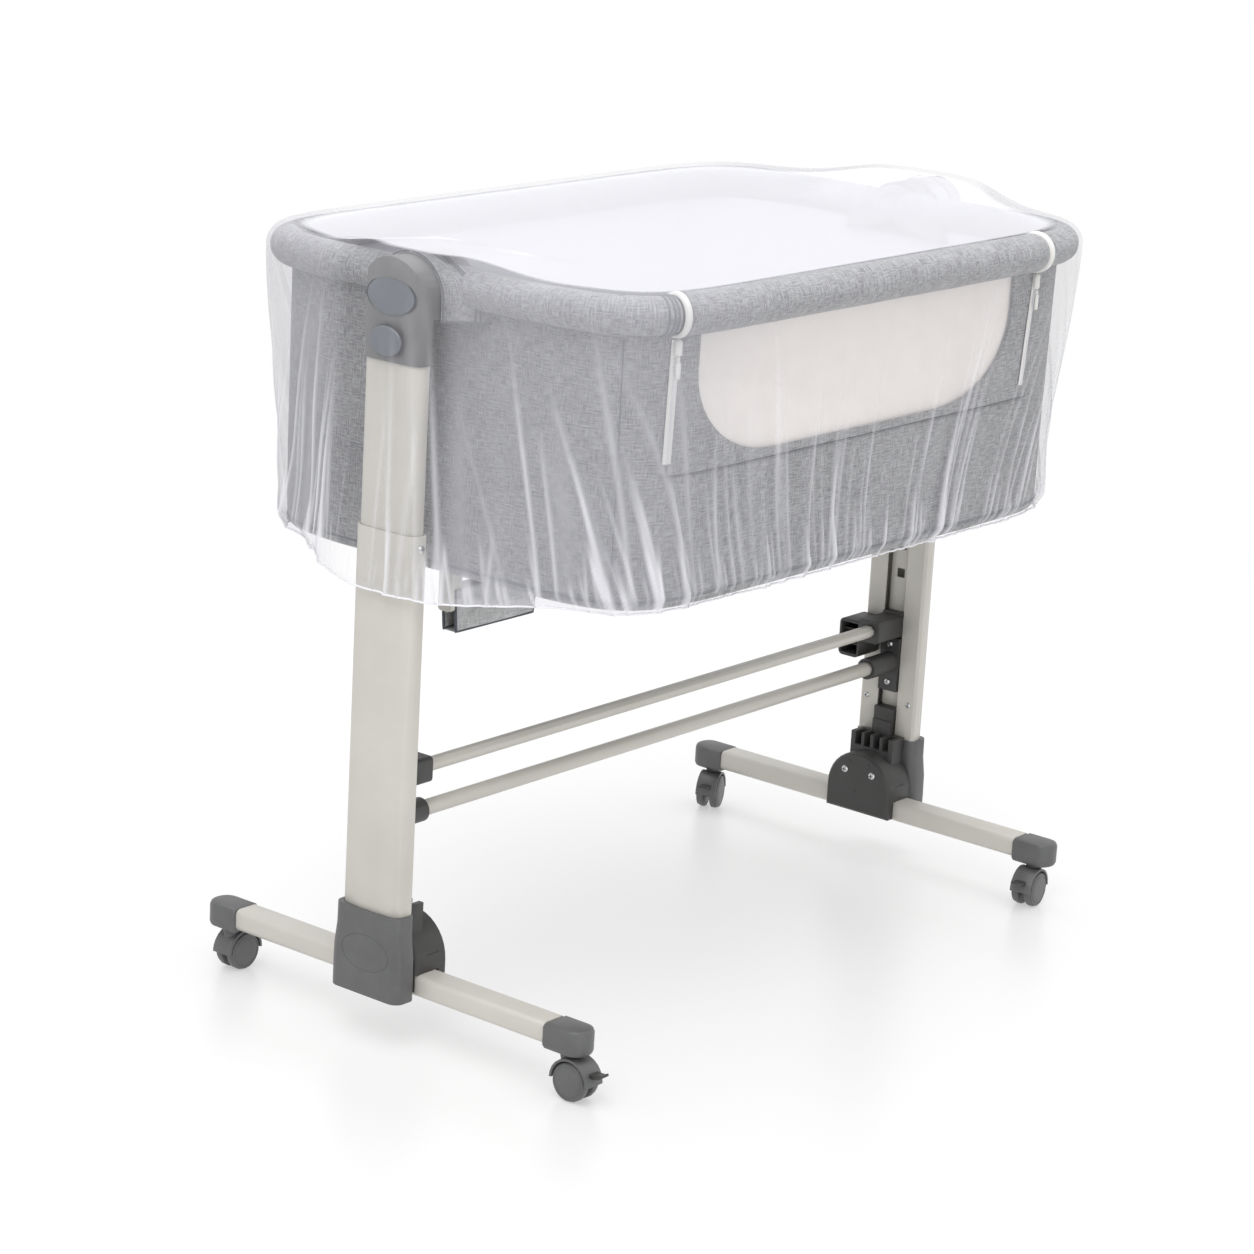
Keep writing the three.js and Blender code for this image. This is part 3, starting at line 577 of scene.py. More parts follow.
# ---- The drop side: a cloth frame round the mesh window ----
def drop_panel():
    """Cloth from the zips and the hinge line in to the window's edge."""
    builder = Builder()
    heights = np.linspace(CLOTH_TOP, HINGE_Z, 80)
    bottom = np.linspace(ZIP_LEFT, ZIP_RIGHT, 200)[1:-1]
    left = np.column_stack([np.full(80, ZIP_LEFT + 0.0004), heights])
    right = np.column_stack([np.full(80, ZIP_RIGHT - 0.0004), heights[::-1]])
    outer = np.concatenate([left, np.column_stack([bottom, np.full(198, HINGE_Z)]), right])
    inner = window_outline(0.0, 260)
    share = lengths_along(inner) / lengths_along(inner)[-1]
    reach = lengths_along(outer)
    outer = np.column_stack([np.interp(share * reach[-1], reach, outer[:, i]) for i in (0, 1)])
    rows = []
    for t in np.linspace(0, 1, 16):
        flat = outer * (1 - t) + inner * t
        rows.append(on_wall(flat[:, 0], flat[:, 1], 0.0004))
    points = crumple(np.array(rows), 0.0012, 3.0)
    builder.grid(points, flip=True)
    obj = builder.build("drop_panel", GREY_CLOTH, "drop_side", "grey_fabric")
    layer = obj.data.uv_layers["UVMap"].data
    for loop in obj.data.loops:
        at = obj.data.vertices[loop.vertex_index].co
        layer[loop.index].uv = (at.x, at.z)
    thicken(obj, 0.0016)
    return obj, builder


panel, panel_size = drop_panel()
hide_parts("side_panel")


def window_cloth():
    """The window's fine mesh, which hangs a little slack behind its frame."""
    builder = Builder()
    x = WINDOW_X + (WINDOW_HALF + 0.002) * np.sin(np.linspace(-1, 1, 110) * math.pi / 2)
    low = window_bottom(np.clip(x, WINDOW_X - WINDOW_HALF, WINDOW_X + WINDOW_HALF)) - 0.002
    rows = []
    for t in np.linspace(0, 1, 26):
        z = low * (1 - t) + CLOTH_TOP * t
        slack = 0.0035 * math.sin(math.pi * t) * np.cos((x - WINDOW_X) / WINDOW_HALF * math.pi / 2)
        rows.append(on_wall(x, z, -0.0022 - slack))
    builder.grid(np.array(rows), u=x, v=np.linspace(0, 0.13, 26))
    obj = builder.build("window_cloth", WINDOW, "drop_side", "light_mesh")
    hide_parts("window_mesh")


window_cloth()


# ---- Rim padding ----
def pad_radii(path, radius, sides, seed, seams):
    """A radius for each point and angle: soft lumps, a fine pucker near seams, rounded ends."""
    along = lengths_along(path)
    angle = circle(sides)
    radii = np.full((len(path), sides), radius)
    for i, s in enumerate(along):
        close = min([abs(s - seam) for seam in seams] + [9])
        tuck = 1 - 0.09 * math.exp(-((close / 0.003) ** 2))
        end = min(s, along[-1] - s)
        round_off = 0.55 + 0.45 * math.sqrt(1 - max(0, 1 - end / 0.006) ** 2)
        for j, turn in enumerate(angle):
            place = (s, math.cos(turn), math.sin(turn))
            lump = ripple(*place, (14, 1.2, 1.2), seed)
            crease = ripple(*place, (60, 1.6, 1.6), seed + 5)
            radii[i, j] *= tuck * round_off * (1 + 0.022 * lump + 0.009 * crease)
    return radii


def padding(name, node, x_range, y_range, radius, body, seams=()):
    """Padding round the stretch of the rim inside a range of x and of y."""
    loop = rim_line(0.004)
    x, y = loop[:, 0], loop[:, 1]
    keep = (x > x_range[0]) & (x < x_range[1]) & (y > y_range[0]) & (y < y_range[1])
    first = np.argmax(keep & ~np.roll(keep, 1))
    ordered = np.roll(loop, -first, axis=0)[: keep.sum()]
    path = resample(ordered, int(lengths_along(ordered)[-1] / 0.0035))
    length = lengths_along(path)[-1]
    radii = pad_radii(path, radius, 30, len(name), [seam % length for seam in seams])
    obj = tube(Builder(), path, radius, 30, radii=radii).build(name, PAD_CLOTH, body, "grey_fabric")
    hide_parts(node)


PAD_GAP = 0.001  # each length of padding stops this far from a zip's line
AT_LEFT = (-1, ZIP_LEFT - PAD_GAP)
AT_RIGHT = (ZIP_RIGHT + PAD_GAP, 1)
BETWEEN = (ZIP_LEFT + PAD_GAP, ZIP_RIGHT - PAD_GAP)
padding("padding_back", "rim_pad_back", (-1, 1), (PAD_END_Y, 1), PAD_RADIUS, "basket", (0.3, 1.1))
padding("padding_left", "rim_pad_left", AT_LEFT, (-1, -PAD_END_Y), PAD_RADIUS, "basket", (-0.058,))
padding("padding_right", "rim_pad_right", AT_RIGHT, (-1, -PAD_END_Y), PAD_RADIUS, "basket", (0.058,))
padding("padding_side", "side_pad", BETWEEN, (-1, 0), SIDE_PAD_RADIUS, "drop_side")


# ---- Hoods of cloth where the rim enters each housing ----
HOOD_START = 0.4425  # how far out the hood begins
HOOD_LENGTH = 0.0585
HOOD_DROP = 0.021  # height of the straight sides under the arch
HOOD_LEG = 1.1  # how much of a row's points each straight side gets, counted as angle
HOOD_ROWS = 17


def hood(side):
    """A cloth sleeve that hugs the housing's arch and runs in over the padding's ends."""
    builder = Builder()
    radius = POST_HALF + 0.0005
    size = radius + 0.0018
    spring = housing_high.z - radius - 0.0006  # height of the arch's middle
    rows = []
    for t in np.linspace(0, 1, HOOD_ROWS):
        x = side * (HOOD_START - HOOD_LENGTH * t)
        flare = smooth_step(t, 0.12, 0.75)
        gather = smooth_step(t, 0.8, 1.0)
        row = []
        for k in np.linspace(-1, 1, 65):
            around = abs(k) * (math.pi / 2 + HOOD_LEG)
            if around <= math.pi / 2:
                y, z, leg = math.sin(around), math.cos(around), 0.0
            else:
                y, z, leg = 1.0, 0.0, (around - math.pi / 2) / HOOD_LEG
            y = math.copysign(y * (size + 0.026 * flare * y**3 - 0.004 * gather), k)
            z = spring + z * (size - 0.006 * flare) - leg * (HOOD_DROP - 0.004 * gather)
            fold = ripple(x, y, z, (60, 45, 40), 2.0 + side) * 0.0014 * flare
            row.append((x, y + math.copysign(fold, y), z + fold))
        rows.append(row)
    last = np.array(rows[-1])
    for share in (0.95, 0.8, 0.55, 0.2, 0.01):
        closing = last.copy()
        closing[:, 0] -= side * 0.006 * (1 - share)
        closing[:, 1] *= share
        closing[:, 2] = (RIM_Z - 0.01) + (last[:, 2] - RIM_Z + 0.01) * (1 - 0.9 * (1 - share) ** 2)
        rows.append(closing)
    grid = np.array(rows)
    builder.grid(grid, flip=side > 0)
    name = "hood_right" if side > 0 else "hood_left"
    obj = builder.build(name, PAD_CLOTH, "basket", "grey_fabric")
    thicken(obj, 0.0014, offset=1)
    return obj, builder, grid


# Painted shade: thin dark lines in the seam shadow cloth along each hood's mouth, middle seam and lower edges.
for side, name in ((-1, "hood_seam_shadow_left"), (1, "hood_seam_shadow_right")):
    sleeve, sleeve_size, grid = hood(side)
    trim = Builder()
    lift = np.array([side * 0.0004, 0, 0])
    seam = HOOD_ROWS // 2
    for line in (grid[0], grid[seam], grid[seam + 1], grid[:HOOD_ROWS, 0], grid[:HOOD_ROWS, -1]):
        outward = unit((line - np.array([0, 0, RIM_Z - 0.02])) * np.array([0, 1, 1]))
        tube(trim, line + outward * 0.0016 + lift, 0.0007, 6)
    trim.build(name, SEAM, "basket", "grey_fabric")


# ---- Mattress ----
def mattress():
    """The mattress, with a rounded edge and a slightly uneven top."""
    builder = Builder()
    a, b = mattress_high.x, mattress_high.y
    loop = resample(oval(a, b), 181)[:-1]
    u = np.append(lengths_along(loop), lengths_along(loop)[-1] + 0.013)
    low, high = mattress_low.z, mattress_high.z
    profile = [(CENTRE, low), (0.9, low), (0.985, low + 0.004), (1.0, low + 0.014), (1.0, high - 0.016)]
    profile += [(0.993, high - 0.006), (0.975, high - 0.001)]
    profile += [(share, high) for share in np.linspace(0.93, CENTRE, 30)]
    points = np.array([level(loop * share, z) for share, z in profile])
    top = points[..., 2] > high - 0.003
    for index in zip(*np.nonzero(top)):
        x, y, _ = points[index]
        points[index][2] += 0.0016 * ripple(x, y, 0, (7, 7, 1), 1.0) - 0.0014
    builder.grid(points, u=u, v=lengths_along(points[:, 0]), close=True)
    obj = builder.build("mattress_cover", MATTRESS, "basket", "white_fabric")
    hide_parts("mattress")


mattress()


# ---- Zips, piping and seams ----
ZIP_TEETH = 118


def flat_strip(builder, centre_line, across, width, lift):
    """A raised tape along a line; across gives its width direction and lift its outward one."""
    section = [(-0.5, 0), (-0.46, 1), (-0.15, 1.15), (0, 1.6), (0.15, 1.15), (0.46, 1), (0.5, 0)]
    rows = [centre_line + across * width * w + lift * h for w, h in section]
    builder.grid(np.array(rows), flip=True)


def outward_at(line):
    """The way out of the wall at each point of a line on its front."""
    return unit(line * np.array([0.2, 1.0, 0.0]))


def zip_strip(name, x_top, x_bottom, z_bottom):
    """A zip's tape and teeth, down the front."""
    z = np.linspace(WALL_TOP - 0.002, z_bottom, 60)
    x = np.linspace(x_top, x_bottom, 60)
    line = on_wall(x, z, 0.0016)
    out = outward_at(line)
    tangent = unit(np.gradient(line, axis=0))
    across = np.cross(tangent, out)
    builder = Builder()
    flat_strip(builder, line, across, 0.0105, out * 0.0009)
    builder.build(name, ZIP_TAPE, "basket", "white_fabric")
    teeth = Builder()
    side, lift = across[30], out[30] * 0.0014
    for k in range(ZIP_TEETH):
        at = k / (ZIP_TEETH - 1)
        centre = np.array([np.interp(at, np.linspace(0, 1, 60), line[:, i]) for i in range(3)])
        middle = centre + side * (0.0007 if k % 2 else -0.0007) + lift
        tube(teeth, [middle - side * 0.0012, middle + side * 0.0012], 0.00045, 6)
    teeth.build(name + "_teeth", ELASTIC, "basket", "white_fabric")


zip_strip("zip_left", ZIP_LEFT, ZIP_LEFT - 0.002, HINGE_Z + 0.012)
zip_strip("zip_right", ZIP_RIGHT, ZIP_RIGHT - 0.012, HINGE_Z + 0.014)


def pad_ring(builder, x, radius, width, bulge=0.0012):
    """A band round the padding where its centre line passes x on the front."""
    loop = rim_line(0.001)
    front = loop[loop[:, 1] < 0]
    near = np.argmin(np.abs(front[:, 0] - x))
    centre = front[near]
    tangent = unit(front[min(near + 2, len(front) - 1)] - front[near - 2])
    profile = [(radius - 0.002, -0.5), (radius + bulge * 0.7, -0.42), (radius + bulge, 0)]
    profile += [(radius + bulge * 0.7, 0.42), (radius - 0.002, 0.5)]
    lathe(builder, [(r, h * width) for r, h in profile], centre, tangent, 40)


rings = Builder()
dark_rings = Builder()
for x in (ZIP_LEFT, ZIP_RIGHT):
    pad_ring(rings, x - 0.002, SIDE_PAD_RADIUS + 0.0004, 0.0075)
    for k in (1, 2, 3):
        pad_ring(dark_rings, x - 0.006 - 0.0042 * k, PAD_RADIUS + 0.0006, 0.0022, 0.0008)
rings.build("zip_rings", ZIP_TAPE, "basket", "white_fabric")
dark_rings.build("zip_piping", PIPING, "basket", "grey_fabric")


def zip_pull(name, x):
    """A slider and its hanging tab at the top of a zip."""
    builder = Builder()
    top = on_wall(x, WALL_TOP - 0.012, 0.0055)
    out = outward_at(top[None])[0]
    side = np.array([1.0, 0, 0]) - out * out[0]
    for z0, z1, half, thick, off in (
        (0.010, -0.006, 0.0042, 0.0024, 0.0),
        (-0.007, -0.013, 0.0017, 0.0012, 0.001),
        (-0.012, -0.029, 0.0032, 0.0011, 0.0015),
    ):
        middle = top + out * off
        rows = []
        for z, narrow in ((z0, 0.7), (z0 - 0.0015, 1.0), (z1 + 0.0015, 1.0), (z1, 0.7)):
            ring = []
            for w, t in ((-1, -0.6), (-0.8, 1), (0.8, 1), (1, -0.6), (0.8, -1), (-0.8, -1)):
                corner = middle + side * half * narrow * w + out * thick * narrow * t
                ring.append(corner + np.array([0, 0, z]))
            rows.append(ring)
        rows = np.array(rows)
        builder.grid(rows, close=True)
        builder.cap(rows[0], flip=True)
        builder.cap(rows[-1])
    builder.build(name, ZIP_TAPE, "basket", "white_fabric")


zip_pull("zip_pull_left", ZIP_LEFT - 0.001)
zip_pull("zip_pull_right", ZIP_RIGHT - 0.002)

# Piping above the wall's bottom edge.
edge = spans(0.0, 0.008)
around = np.concatenate([edge[0][:-1], edge[1][:-1]])
piping = Builder()
tube(piping, raised(around * 1.0015, [WALL_BOTTOM + 0.009])[0], 0.0014, 8, closed=True)
piping.build("bottom_piping", PIPING, "basket", "grey_fabric")


def seam_line(builder, x0, x1, z0, z1):
    """A straight seam on the front wall."""
    count = max(8, int(max(abs(x1 - x0), abs(z1 - z0)) / 0.006))
    points = on_wall(np.linspace(x0, x1, count), np.linspace(z0, z1, count), 0.0012)
    tube(builder, points, 0.0005, 6)


def stitches(builder, line, out, pitch, length):
    """Short raised threads along a line, moved out from it."""
    along = lengths_along(line)
    for s in np.arange(0.002, along[-1] - length, pitch):
        ends = [np.array([np.interp(s + d, along, line[:, i]) for i in range(3)]) for d in (0, length)]
        tube(builder, [end + out for end in ends], 0.0004, 5)


seams = Builder()
for x in (-0.38, 0.38):
    seam_line(seams, x, x * 0.992, WALL_TOP - 0.004, WALL_BOTTOM + 0.01)
seam_line(seams, ZIP_LEFT - 0.008, ZIP_RIGHT + 0.004, HINGE_Z - 0.001, HINGE_Z - 0.001)
seams.build("wall_seams", SEAM, "basket", "grey_fabric")
hem = Builder()
outline = window_outline(0.004, 300)
stitches(hem, on_wall(outline[:, 0], outline[:, 1], 0.0009), np.array([0, -0.0003, 0]), 0.0042, 0.0026)
hem.build("window_stitching", THREAD, "drop_side", "grey_fabric")


# ---- Storage pocket under the basket ----
def pocket():
    """A pocket that bulges a little and narrows towards its foot, with bound edges."""
    builder = Builder()
    x0, x1 = sleeve_low.x, sleeve_high.x
    top, bottom = sleeve_high.z, sleeve_low.z
    rows = []
    across = np.linspace(0, 1, 25)
    for t in np.linspace(0, 1, 13):
        x = x0 + (x1 - x0) * across + 0.004 * t * (1 - 2 * across)
        belly = 0.0085 + 0.0035 * np.sin(math.pi * across) * math.sin(math.pi * t)
        rows.append(level(np.column_stack([x, -belly]), top + (bottom - top) * t))
    front = np.array(rows)
    back = front * np.array([1, -1, 1])
    builder.grid(np.concatenate([front, back[::-1]]))
    obj = builder.build("pocket_cloth", FLAP_CLOTH, "basket", "grey_fabric")
    thicken(obj, 0.0012)
    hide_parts("storage_sleeve")
    trim = Builder()
    for sheet_rows in (front, back):
        path = np.concatenate([sheet_rows[:, 0], sheet_rows[-1, 1:-1], sheet_rows[::-1, -1]])
        tube(trim, path, 0.0016, 8)
    trim.build("pocket_binding", BINDING, "basket", "grey_fabric")


pocket()


# ---- The net ----
def convex(points):
    """The convex outline round points, anticlockwise."""
    ordered = sorted(map(tuple, points))
    halves = []
    for sequence in (ordered, ordered[::-1]):
        chain = []
        for p in sequence:
            while len(chain) > 1:
                (ax, ay), (bx, by) = chain[-2], chain[-1]
                if (bx - ax) * (p[1] - ay) - (by - ay) * (p[0] - ax) > 0:
                    break
                chain.pop()
            chain.append(p)
        halves.append(chain[:-1])
    return np.array(halves[0] + halves[1])


NET_OFF = 0.0025  # air between the net and the padding
NET_OVER_POST = 0.0075  # how far the net passes over a housing's top, before it sags
POST_HEM_Z = net_low.z + 0.004
NET_COUNT = 1500
TOP_ROWS = 30
CURVE_ROWS = 9
SIDE_ROWS = 70
SIDE_START = TOP_ROWS + CURVE_ROWS
TOP_HAZE = 0.85  # the taut top is seen at a slant, through more threads; its lighter colour there is painted light
END_LIGHT_HAZE = 0.22  # painted light: more opacity, and so a lighter net, at the back of each end
# Painted light: more opacity, and so a lighter net, at the front of each end.
FRONT_LIGHT_HAZE = 0.19
FOLD_KINDS = (  # count, width, reach up from the hem, height, density
    (46, (0.007, 0.015), (0.18, 0.34), (0.001, 0.0025), (0.03, 0.11)),
    (170, (0.0022, 0.004), (0.14, 0.36), (0.0008, 0.0022), (0.12, 0.55)),
    (300, (0.002, 0.0032), (0.02, 0.1), (0.0008, 0.0022), (0.12, 0.55)),
)


def net_folds(along, up, total):
    """Height and density of the net's folds, from the distance along and the height over the hem."""
    draw = random.Random(41)
    rise = np.zeros_like(along)
    dense = np.zeros_like(along)
    for count, widths, reaches, sizes, densities in FOLD_KINDS:
        for _ in range(count):
            start = draw.uniform(0, total)
            fan = math.sin(4 * math.pi * start / total)
            slope = draw.gauss(0, 0.07) - 0.3 * fan
            width = draw.uniform(*widths)
            reach = draw.uniform(*reaches)
            size = draw.uniform(*sizes)
            offset = (along - start - slope * up + total / 2) % total - total / 2
            fade = 1 - smooth_step(up, reach * 0.4, reach)
            ridge = np.exp(-((offset / (width * (0.8 + up))) ** 2)) * fade
            rise += ridge * size
            dense += ridge * draw.uniform(*densities)
    return rise, np.clip(dense, 0, 1)


def net_line():
    """The net's plan outline: the rim's centre line, stretched out over both posts."""
    centre_oval = oval(RIM_A, RIM_B, 900)[:-1]
    post_x = POST_OUTER_X + 0.007 - PAD_RADIUS
    post = [(sx * post_x, sy * (POST_HALF - 0.012)) for sx in (-1, 1) for sy in (-1, 1)]
    hull = convex(np.concatenate([centre_oval, post]))
    line = resample(np.concatenate([hull, hull[:1]]), NET_COUNT + 1)[:-1]
    for _ in range(12):
        line = (np.roll(line, 1, axis=0) + 2 * line + np.roll(line, -1, axis=0)) / 4
    return line


def net_light_haze(line):
    """Painted light: extra density, which lightens the net, at its ends, reaching further in at the left end and
    fading away beside the posts, for each point of its outline.
    """
    at_ends = smooth_step(np.abs(line[:, 0]), 0.33, 0.42)
    at_ends = np.maximum(at_ends, smooth_step(-line[:, 0], 0.2, 0.36))
    behind = smooth_step(line[:, 1], 0.03, 0.12)
    clear = 1 - smooth_step(line[:, 1], -0.08, -0.05) * (1 - behind)
    return at_ends * (FRONT_LIGHT_HAZE * clear + (END_LIGHT_HAZE - FRONT_LIGHT_HAZE) * behind)


def make_net():
    """A taut top, a curve over the padding, and a side with folds that rise from its hem."""
    line = net_line()
    tangent = unit(np.roll(line, -1, axis=0) - np.roll(line, 1, axis=0))
    normal = np.column_stack([tangent[:, 1], -tangent[:, 0]])
    along = lengths_along(np.concatenate([line, line[:1]]))
    by_post = 1 - smooth_step(np.abs(line[:, 1]), 0.055, 0.2)
    by_post = by_post * (np.abs(line[:, 0]) > 0.3)
    radius = PAD_RADIUS + 0.002 + NET_OFF
    hump = (housing_high.z + NET_OVER_POST - RIM_Z - radius) * by_post**2
    hem_z = WALL_BOTTOM + 0.001 + (POST_HEM_Z - WALL_BOTTOM - 0.001) * by_post
    rows = []
    top_shares = np.linspace(CENTRE, 0.985, TOP_ROWS)
    for share in top_shares:
        sag = -0.002 - 0.006 * (1 - share**6)
        lift = hump * smooth_step(share, 0.6, 0.8)
        rows.append(np.column_stack([line * share, RIM_Z + radius + sag + lift]))
    for turn in np.linspace(90, 0, CURVE_ROWS):
        c, s = math.cos(math.radians(turn)), math.sin(math.radians(turn))
        rows.append(np.column_stack([line + normal * radius * c, RIM_Z + radius * s + hump * s]))
    for t in np.linspace(1 / SIDE_ROWS, 1, SIDE_ROWS):
        hugging = radius + (0.003 - radius) * smooth_step(t, 0, 0.85)
        tuck = -0.009 * smooth_step(t, 0.96, 1)
        off = (hugging + tuck) * (1 - by_post) + (radius - 0.006 * t) * by_post
        inward = 1 - 0.0085 * t * (1 - by_post)
        z = RIM_Z + (hem_z - RIM_Z) * t - 0.004 * smooth_step(t, 0.97, 1) * (1 - by_post)
        rows.append(np.column_stack([line * inward[:, None] + normal * off[:, None], z]))
    points = np.array(rows)
    distance = np.broadcast_to(along[:-1], points.shape[:2])
    up = points[..., 2] - points[-1:, :, 2]
    rise, dense = net_folds(distance, up, along[-1])
    below = np.arange(len(points))[:, None] >= SIDE_START
    rise = np.where(below, rise, 0)
    points[..., :2] += normal[None] * rise[..., None]
    for i in range(SIDE_START, len(points)):
        share = (i - SIDE_START) / SIDE_ROWS
        for j in range(NET_COUNT):
            x, y, z = points[i, j]
            wave = ripple(x, y, z, (22, 22, 5), 6.0)
            points[i, j, :2] += normal[j] * (0.002 * share * (wave + 0.35))
    builder = Builder()
    builder.grid(points, u=along, v=lengths_along(points[:, 0]), close=True, flip=True)
    obj = builder.build("net_cloth", NET, "net_cover", "white_net", merge=False)
    # Painted light: the top's fold value also gives the net its lighter colour there.
    top = np.zeros(len(points))
    top[:TOP_ROWS] = TOP_HAZE * (1 - smooth_step(top_shares, 0.95, 0.985))
    fold = np.where(below, dense, top[:, None])
    fold[-2:] = np.maximum(fold[-2:], 0.2)
    # Painted light at the net's ends, as extra opacity that lightens it.
    light_haze = np.where(np.arange(len(points))[:, None] >= TOP_ROWS, net_light_haze(line)[None], 0.0)
    for key, values in (("fold", fold), ("light_haze", light_haze)):
        attribute = obj.data.attributes.new(key, "FLOAT", "POINT")
        attribute.data.foreach_set("value", values.astype(np.float32).ravel())
    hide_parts("net")
    elastic = Builder()
    tube(elastic, points[-1][::3], 0.0011, 8, closed=True)
    elastic.build("net_elastic", ELASTIC, "net_cover", "white_net")


make_net()


# ---- Screws, engraved lines and other small hard details, with painted shade in grooves, recesses and holes ----
def screw(builder, recess, centre, axis, radius=0.0042):
    """A pan-head screw; the cross in its head is drawn as a black cross just proud of the head, painted shade for
    the hollow.
    """
    profile = [(radius * 1.08, 0), (radius, 0.0009), (radius * 0.8, 0.0016)]
    profile += [(radius * 0.3, 0.002), (0.0001, 0.002)]
    lathe(builder, profile, centre, axis, 20)
    for turn in (0, math.pi / 2):
        c, s = math.cos(turn), math.sin(turn)
        half, thin = radius * 0.62, radius * 0.13
        flat = [(-half, -thin), (half, -thin), (half, thin), (-half, thin)]
        top = [(x * c - y * s, x * s + y * c, 0.00215) for x, y in flat]
        base = [(x, y, 0.001) for x, y, _ in top]
        recess.grid(turned(np.array([base, top]), centre, axis), close=True)
        recess.cap(turned(np.array(top), centre, axis))


def oval_ring(builder, centre, axis_x, half_y, half_z, thickness):
    """A thin raised oval line in the plane across x."""
    angle = circle(60)
    path = np.column_stack([np.zeros(60), half_y * np.cos(angle), half_z * np.sin(angle)])
    rings = []
    for across, out in ((-1, 0), (0, axis_x), (1, 0)):
        ring = path * (1 + across * thickness / half_z) + np.array(centre)
        ring[:, 0] += out * thickness * 0.6
        rings.append(ring)
    builder.grid(np.array(rings), close=True, flip=axis_x < 0)


HUB_OVAL = (0.0325, 0.0195)  # half width and half height
BADGE_OVAL = (0.0325, 0.0192)
HUB_SCREWS = ((-0.02, 0.108), (0.02, 0.108))  # y and z, as below
COVER_HOLES = ((-0.0145, 0.119), (0.0138, 0.119), (0.0034, 0.082))
FLANGE_SCREWS = ((-0.031, 0.19), (-0.031, 0.52), (0.031, 0.19), (0.031, 0.52))
SOCKET_SCREWS = ((0, 0.214), (0, 0.262))
SOCKET_PLATE = 0.0034  # from the column's face to just off the lower socket's plate
FRONT_SCREW = (0.4565, 0.537)  # x and z, on the column's front near its top


def hard_details():
    """Ovals on hubs and badges, screws, and the small holes in the hub covers; the dark ovals, the black cross
    shapes on the screws and the black discs for the holes are painted shade.
    """
    groove_shades = {body: Builder() for body in ("stand", "left_post", "right_post")}
    screws = Builder()
    recess_and_hole_shade = Builder()
    for side, name in ((-1, "left"), (1, "right")):
        edge = 1 if side > 0 else 0  # which corner of a box is on its outer side
        inwards = (-side, 0, 0)
        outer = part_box("hub_shell_" + name)[edge].x - side * 0.0002
        # Painted shade: a dark raised oval for each groove on the hub and the badge.
        oval_ring(groove_shades["stand"], (outer, -0.002, 0.1), side, *HUB_OVAL, 0.0006)
        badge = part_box("badge_" + name)
        middle = (badge[0] + badge[1]) / 2
        face = badge[edge].x - side * 0.0028
        oval_ring(groove_shades[name + "_post"], (face, middle.y, middle.z), side, *BADGE_OVAL, 0.0008)
        cover_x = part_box("hub_cover_" + name)[1 - edge].x
        for y, z in HUB_SCREWS:
            screw(screws, recess_and_hole_shade, (cover_x, y, z), inwards)
        for y, z in COVER_HOLES:
            # Painted shade: each small hole in a cover is a raised black disc.
            disc = [(0.0026, 0.0), (0.0025, 0.0003), (0.0001, 0.0003)]
            lathe(recess_and_hole_shade, disc, (cover_x, y, z), inwards, 16)
        flange_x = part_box("column_" + name)[1 - edge].x
        for y, z in FLANGE_SCREWS:
            screw(screws, recess_and_hole_shade, (flange_x, y, z), inwards, 0.0034)
        for y, z in SOCKET_SCREWS:
            screw(screws, recess_and_hole_shade, (side * (abs(flange_x) - SOCKET_PLATE), y, z), inwards, 0.0036)
        screw(screws, recess_and_hole_shade, (side * FRONT_SCREW[0], -POST_HALF, FRONT_SCREW[1]), (0, -1, 0), 0.004)
    screws.build("stand_screws", SCREW, "stand")
    # The black cross shapes and discs are painted shade in hollows and holes.
    recess_and_hole_shade.build("stand_recess_and_hole_shade", BLACK, "stand", "black_plastic")
    for body, builder in groove_shades.items():
        builder.build(body + "_groove_shades", GROOVE_SHADE, body, "dark_plastic")


hard_details()

# ---- Casters: rim line and hub disc on each outer wheel face ----
DISC_OFF = 0.01255  # from a caster's middle out to the face of its wheel
joints = {joint["name"]: joint for joint in frame["joints"]}
for corner in ("left_front", "left_back", "right_front", "right_back"):
    roll = joints["roll_" + corner]
    centre = np.array(roll["pos_m"])
    axis = unit(np.array(roll["axis"], float))
    discs = Builder()
    for way in (-1, 1):
        base = centre + axis * way * DISC_OFF
        profile = [(0.0196, -0.0006), (0.0196, 0.0004), (0.0186, 0.0008), (0.0178, 0.0002), (0.0172, 0.0)]
        profile += [(0.0166, 0.0006), (0.012, 0.0011), (0.006, 0.0013), (0.0001, 0.0013)]
        lathe(discs, profile, base, axis * way, 40)
    discs.build("wheel_discs_" + corner, DARK, "wheels_" + corner, "dark_plastic")


# ---- Floor, light and camera ----
def stage_floor():
    """A pale floor that fades into the backdrop."""
    mesh = bpy.data.meshes.new("floor")
    corners = [(-5, -5, 0), (5, -5, 0), (5, 5, 0), (-5, 5, 0)]
    mesh.from_pydata(corners, [], [(0, 1, 2, 3)])
    obj = add_object("floor", mesh)
    base, white = (0.42, 0.42, 0.42, 1), (1, 1, 1, 1)
    paint = Paint("floor", 0.3, Base_Color=base, Emission_Color=white, Emission_Strength=0.44)
    distance = paint.node("VectorMath", {0: paint.object_space()}, operation="LENGTH").outputs["Value"]
    paint.links.new(paint.between(distance, 0.9, 2.6, 1.0, 0.0), paint.shader.inputs["Alpha"])
    mesh.materials.append(paint.material)


def area_light(name, place, target, size, power):
    light = bpy.data.lights.new(name, "AREA")
    light.shape = "RECTANGLE"
    light.size, light.size_y = size
    light.energy = power
    obj = add_object(name, light)
    obj.location = place
    obj.rotation_mode = "QUATERNION"
    obj.rotation_quaternion = (Vector(target) - Vector(place)).to_track_quat("-Z", "Y")


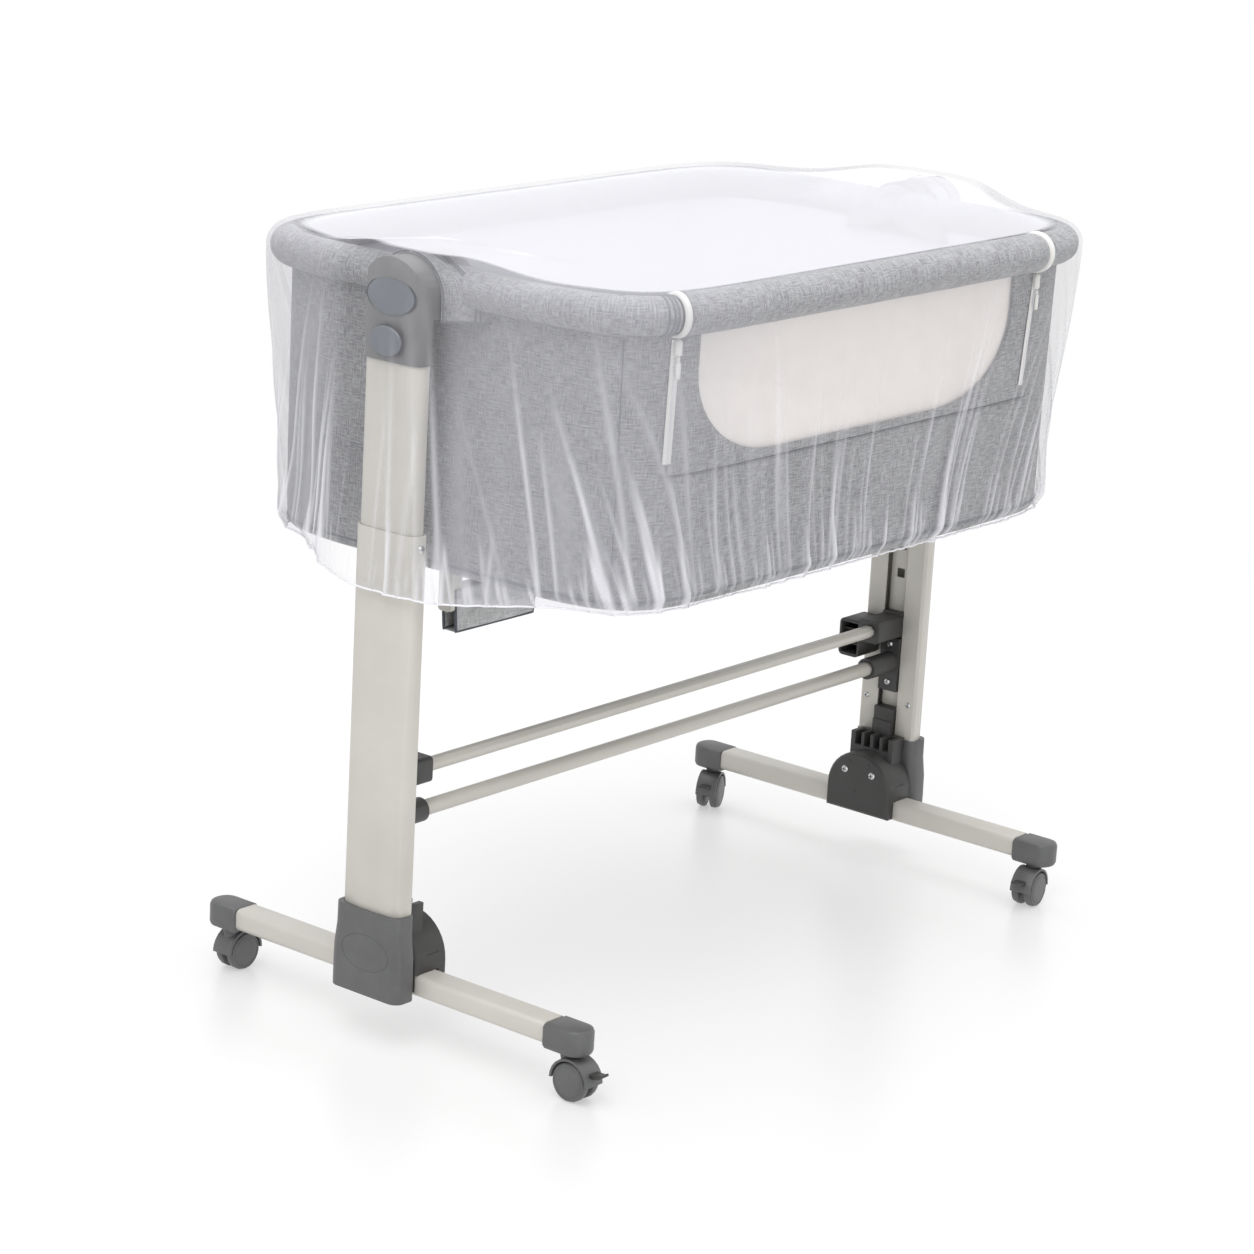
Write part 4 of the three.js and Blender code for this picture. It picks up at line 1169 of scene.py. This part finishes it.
CAMERA_AT = (-3.1282, -2.4455, 1.4754)
CAMERA_YAW, CAMERA_PITCH, CAMERA_ROLL = 0.8965, 0.2735, -0.0559
CAMERA_LENS = 106.17


def make_camera():
    level = math.cos(CAMERA_PITCH)
    ahead = (math.sin(CAMERA_YAW) * level, math.cos(CAMERA_YAW) * level, -math.sin(CAMERA_PITCH))
    forward = Vector(ahead)
    right = forward.cross(Vector((0, 0, 1))).normalized()
    up = right.cross(forward)
    c, s = math.cos(CAMERA_ROLL), math.sin(CAMERA_ROLL)
    x_axis, y_axis = right * c - up * s, right * s + up * c
    camera = add_object("camera", bpy.data.cameras.new("camera"))
    camera.data.lens = CAMERA_LENS
    camera.data.sensor_width = 36
    turn = Matrix((x_axis, y_axis, -forward)).transposed().to_4x4()
    camera.matrix_world = Matrix.Translation(CAMERA_AT) @ turn
    bpy.context.scene.camera = camera


stage_floor()
area_light("key", (-2.3, -0.9, 3.5), (0, 0, 0.5), (2.0, 2.0), 52)
area_light("top", (0.3, 0.2, 3.6), (0, 0, 0.4), (3.0, 3.0), 62)
area_light("low", (-1.0, -2.4, 0.6), (0.45, 0, 0.35), (1.8, 0.9), 6)
area_light("fill", (3.0, -1.6, 2.0), (0, 0, 0.5), (2.5, 2.5), 8)
world = bpy.data.worlds.new("studio")
world.use_nodes = True
tree = world.node_tree
background = tree.nodes["Background"]
backdrop = tree.nodes.new("ShaderNodeBackground")
for shader in (background, backdrop):
    shader.inputs["Color"].default_value = (1, 1, 1, 1)
background.inputs["Strength"].default_value = 0.85
seen = tree.nodes.new("ShaderNodeLightPath")
mixed = tree.nodes.new("ShaderNodeMixShader")
tree.links.new(seen.outputs["Is Camera Ray"], mixed.inputs[0])
tree.links.new(background.outputs[0], mixed.inputs[1])
tree.links.new(backdrop.outputs[0], mixed.inputs[2])
tree.links.new(mixed.outputs[0], tree.nodes["World Output"].inputs[0])
bpy.context.scene.world = world
bpy.context.scene.view_settings.view_transform = "Standard"
make_camera()
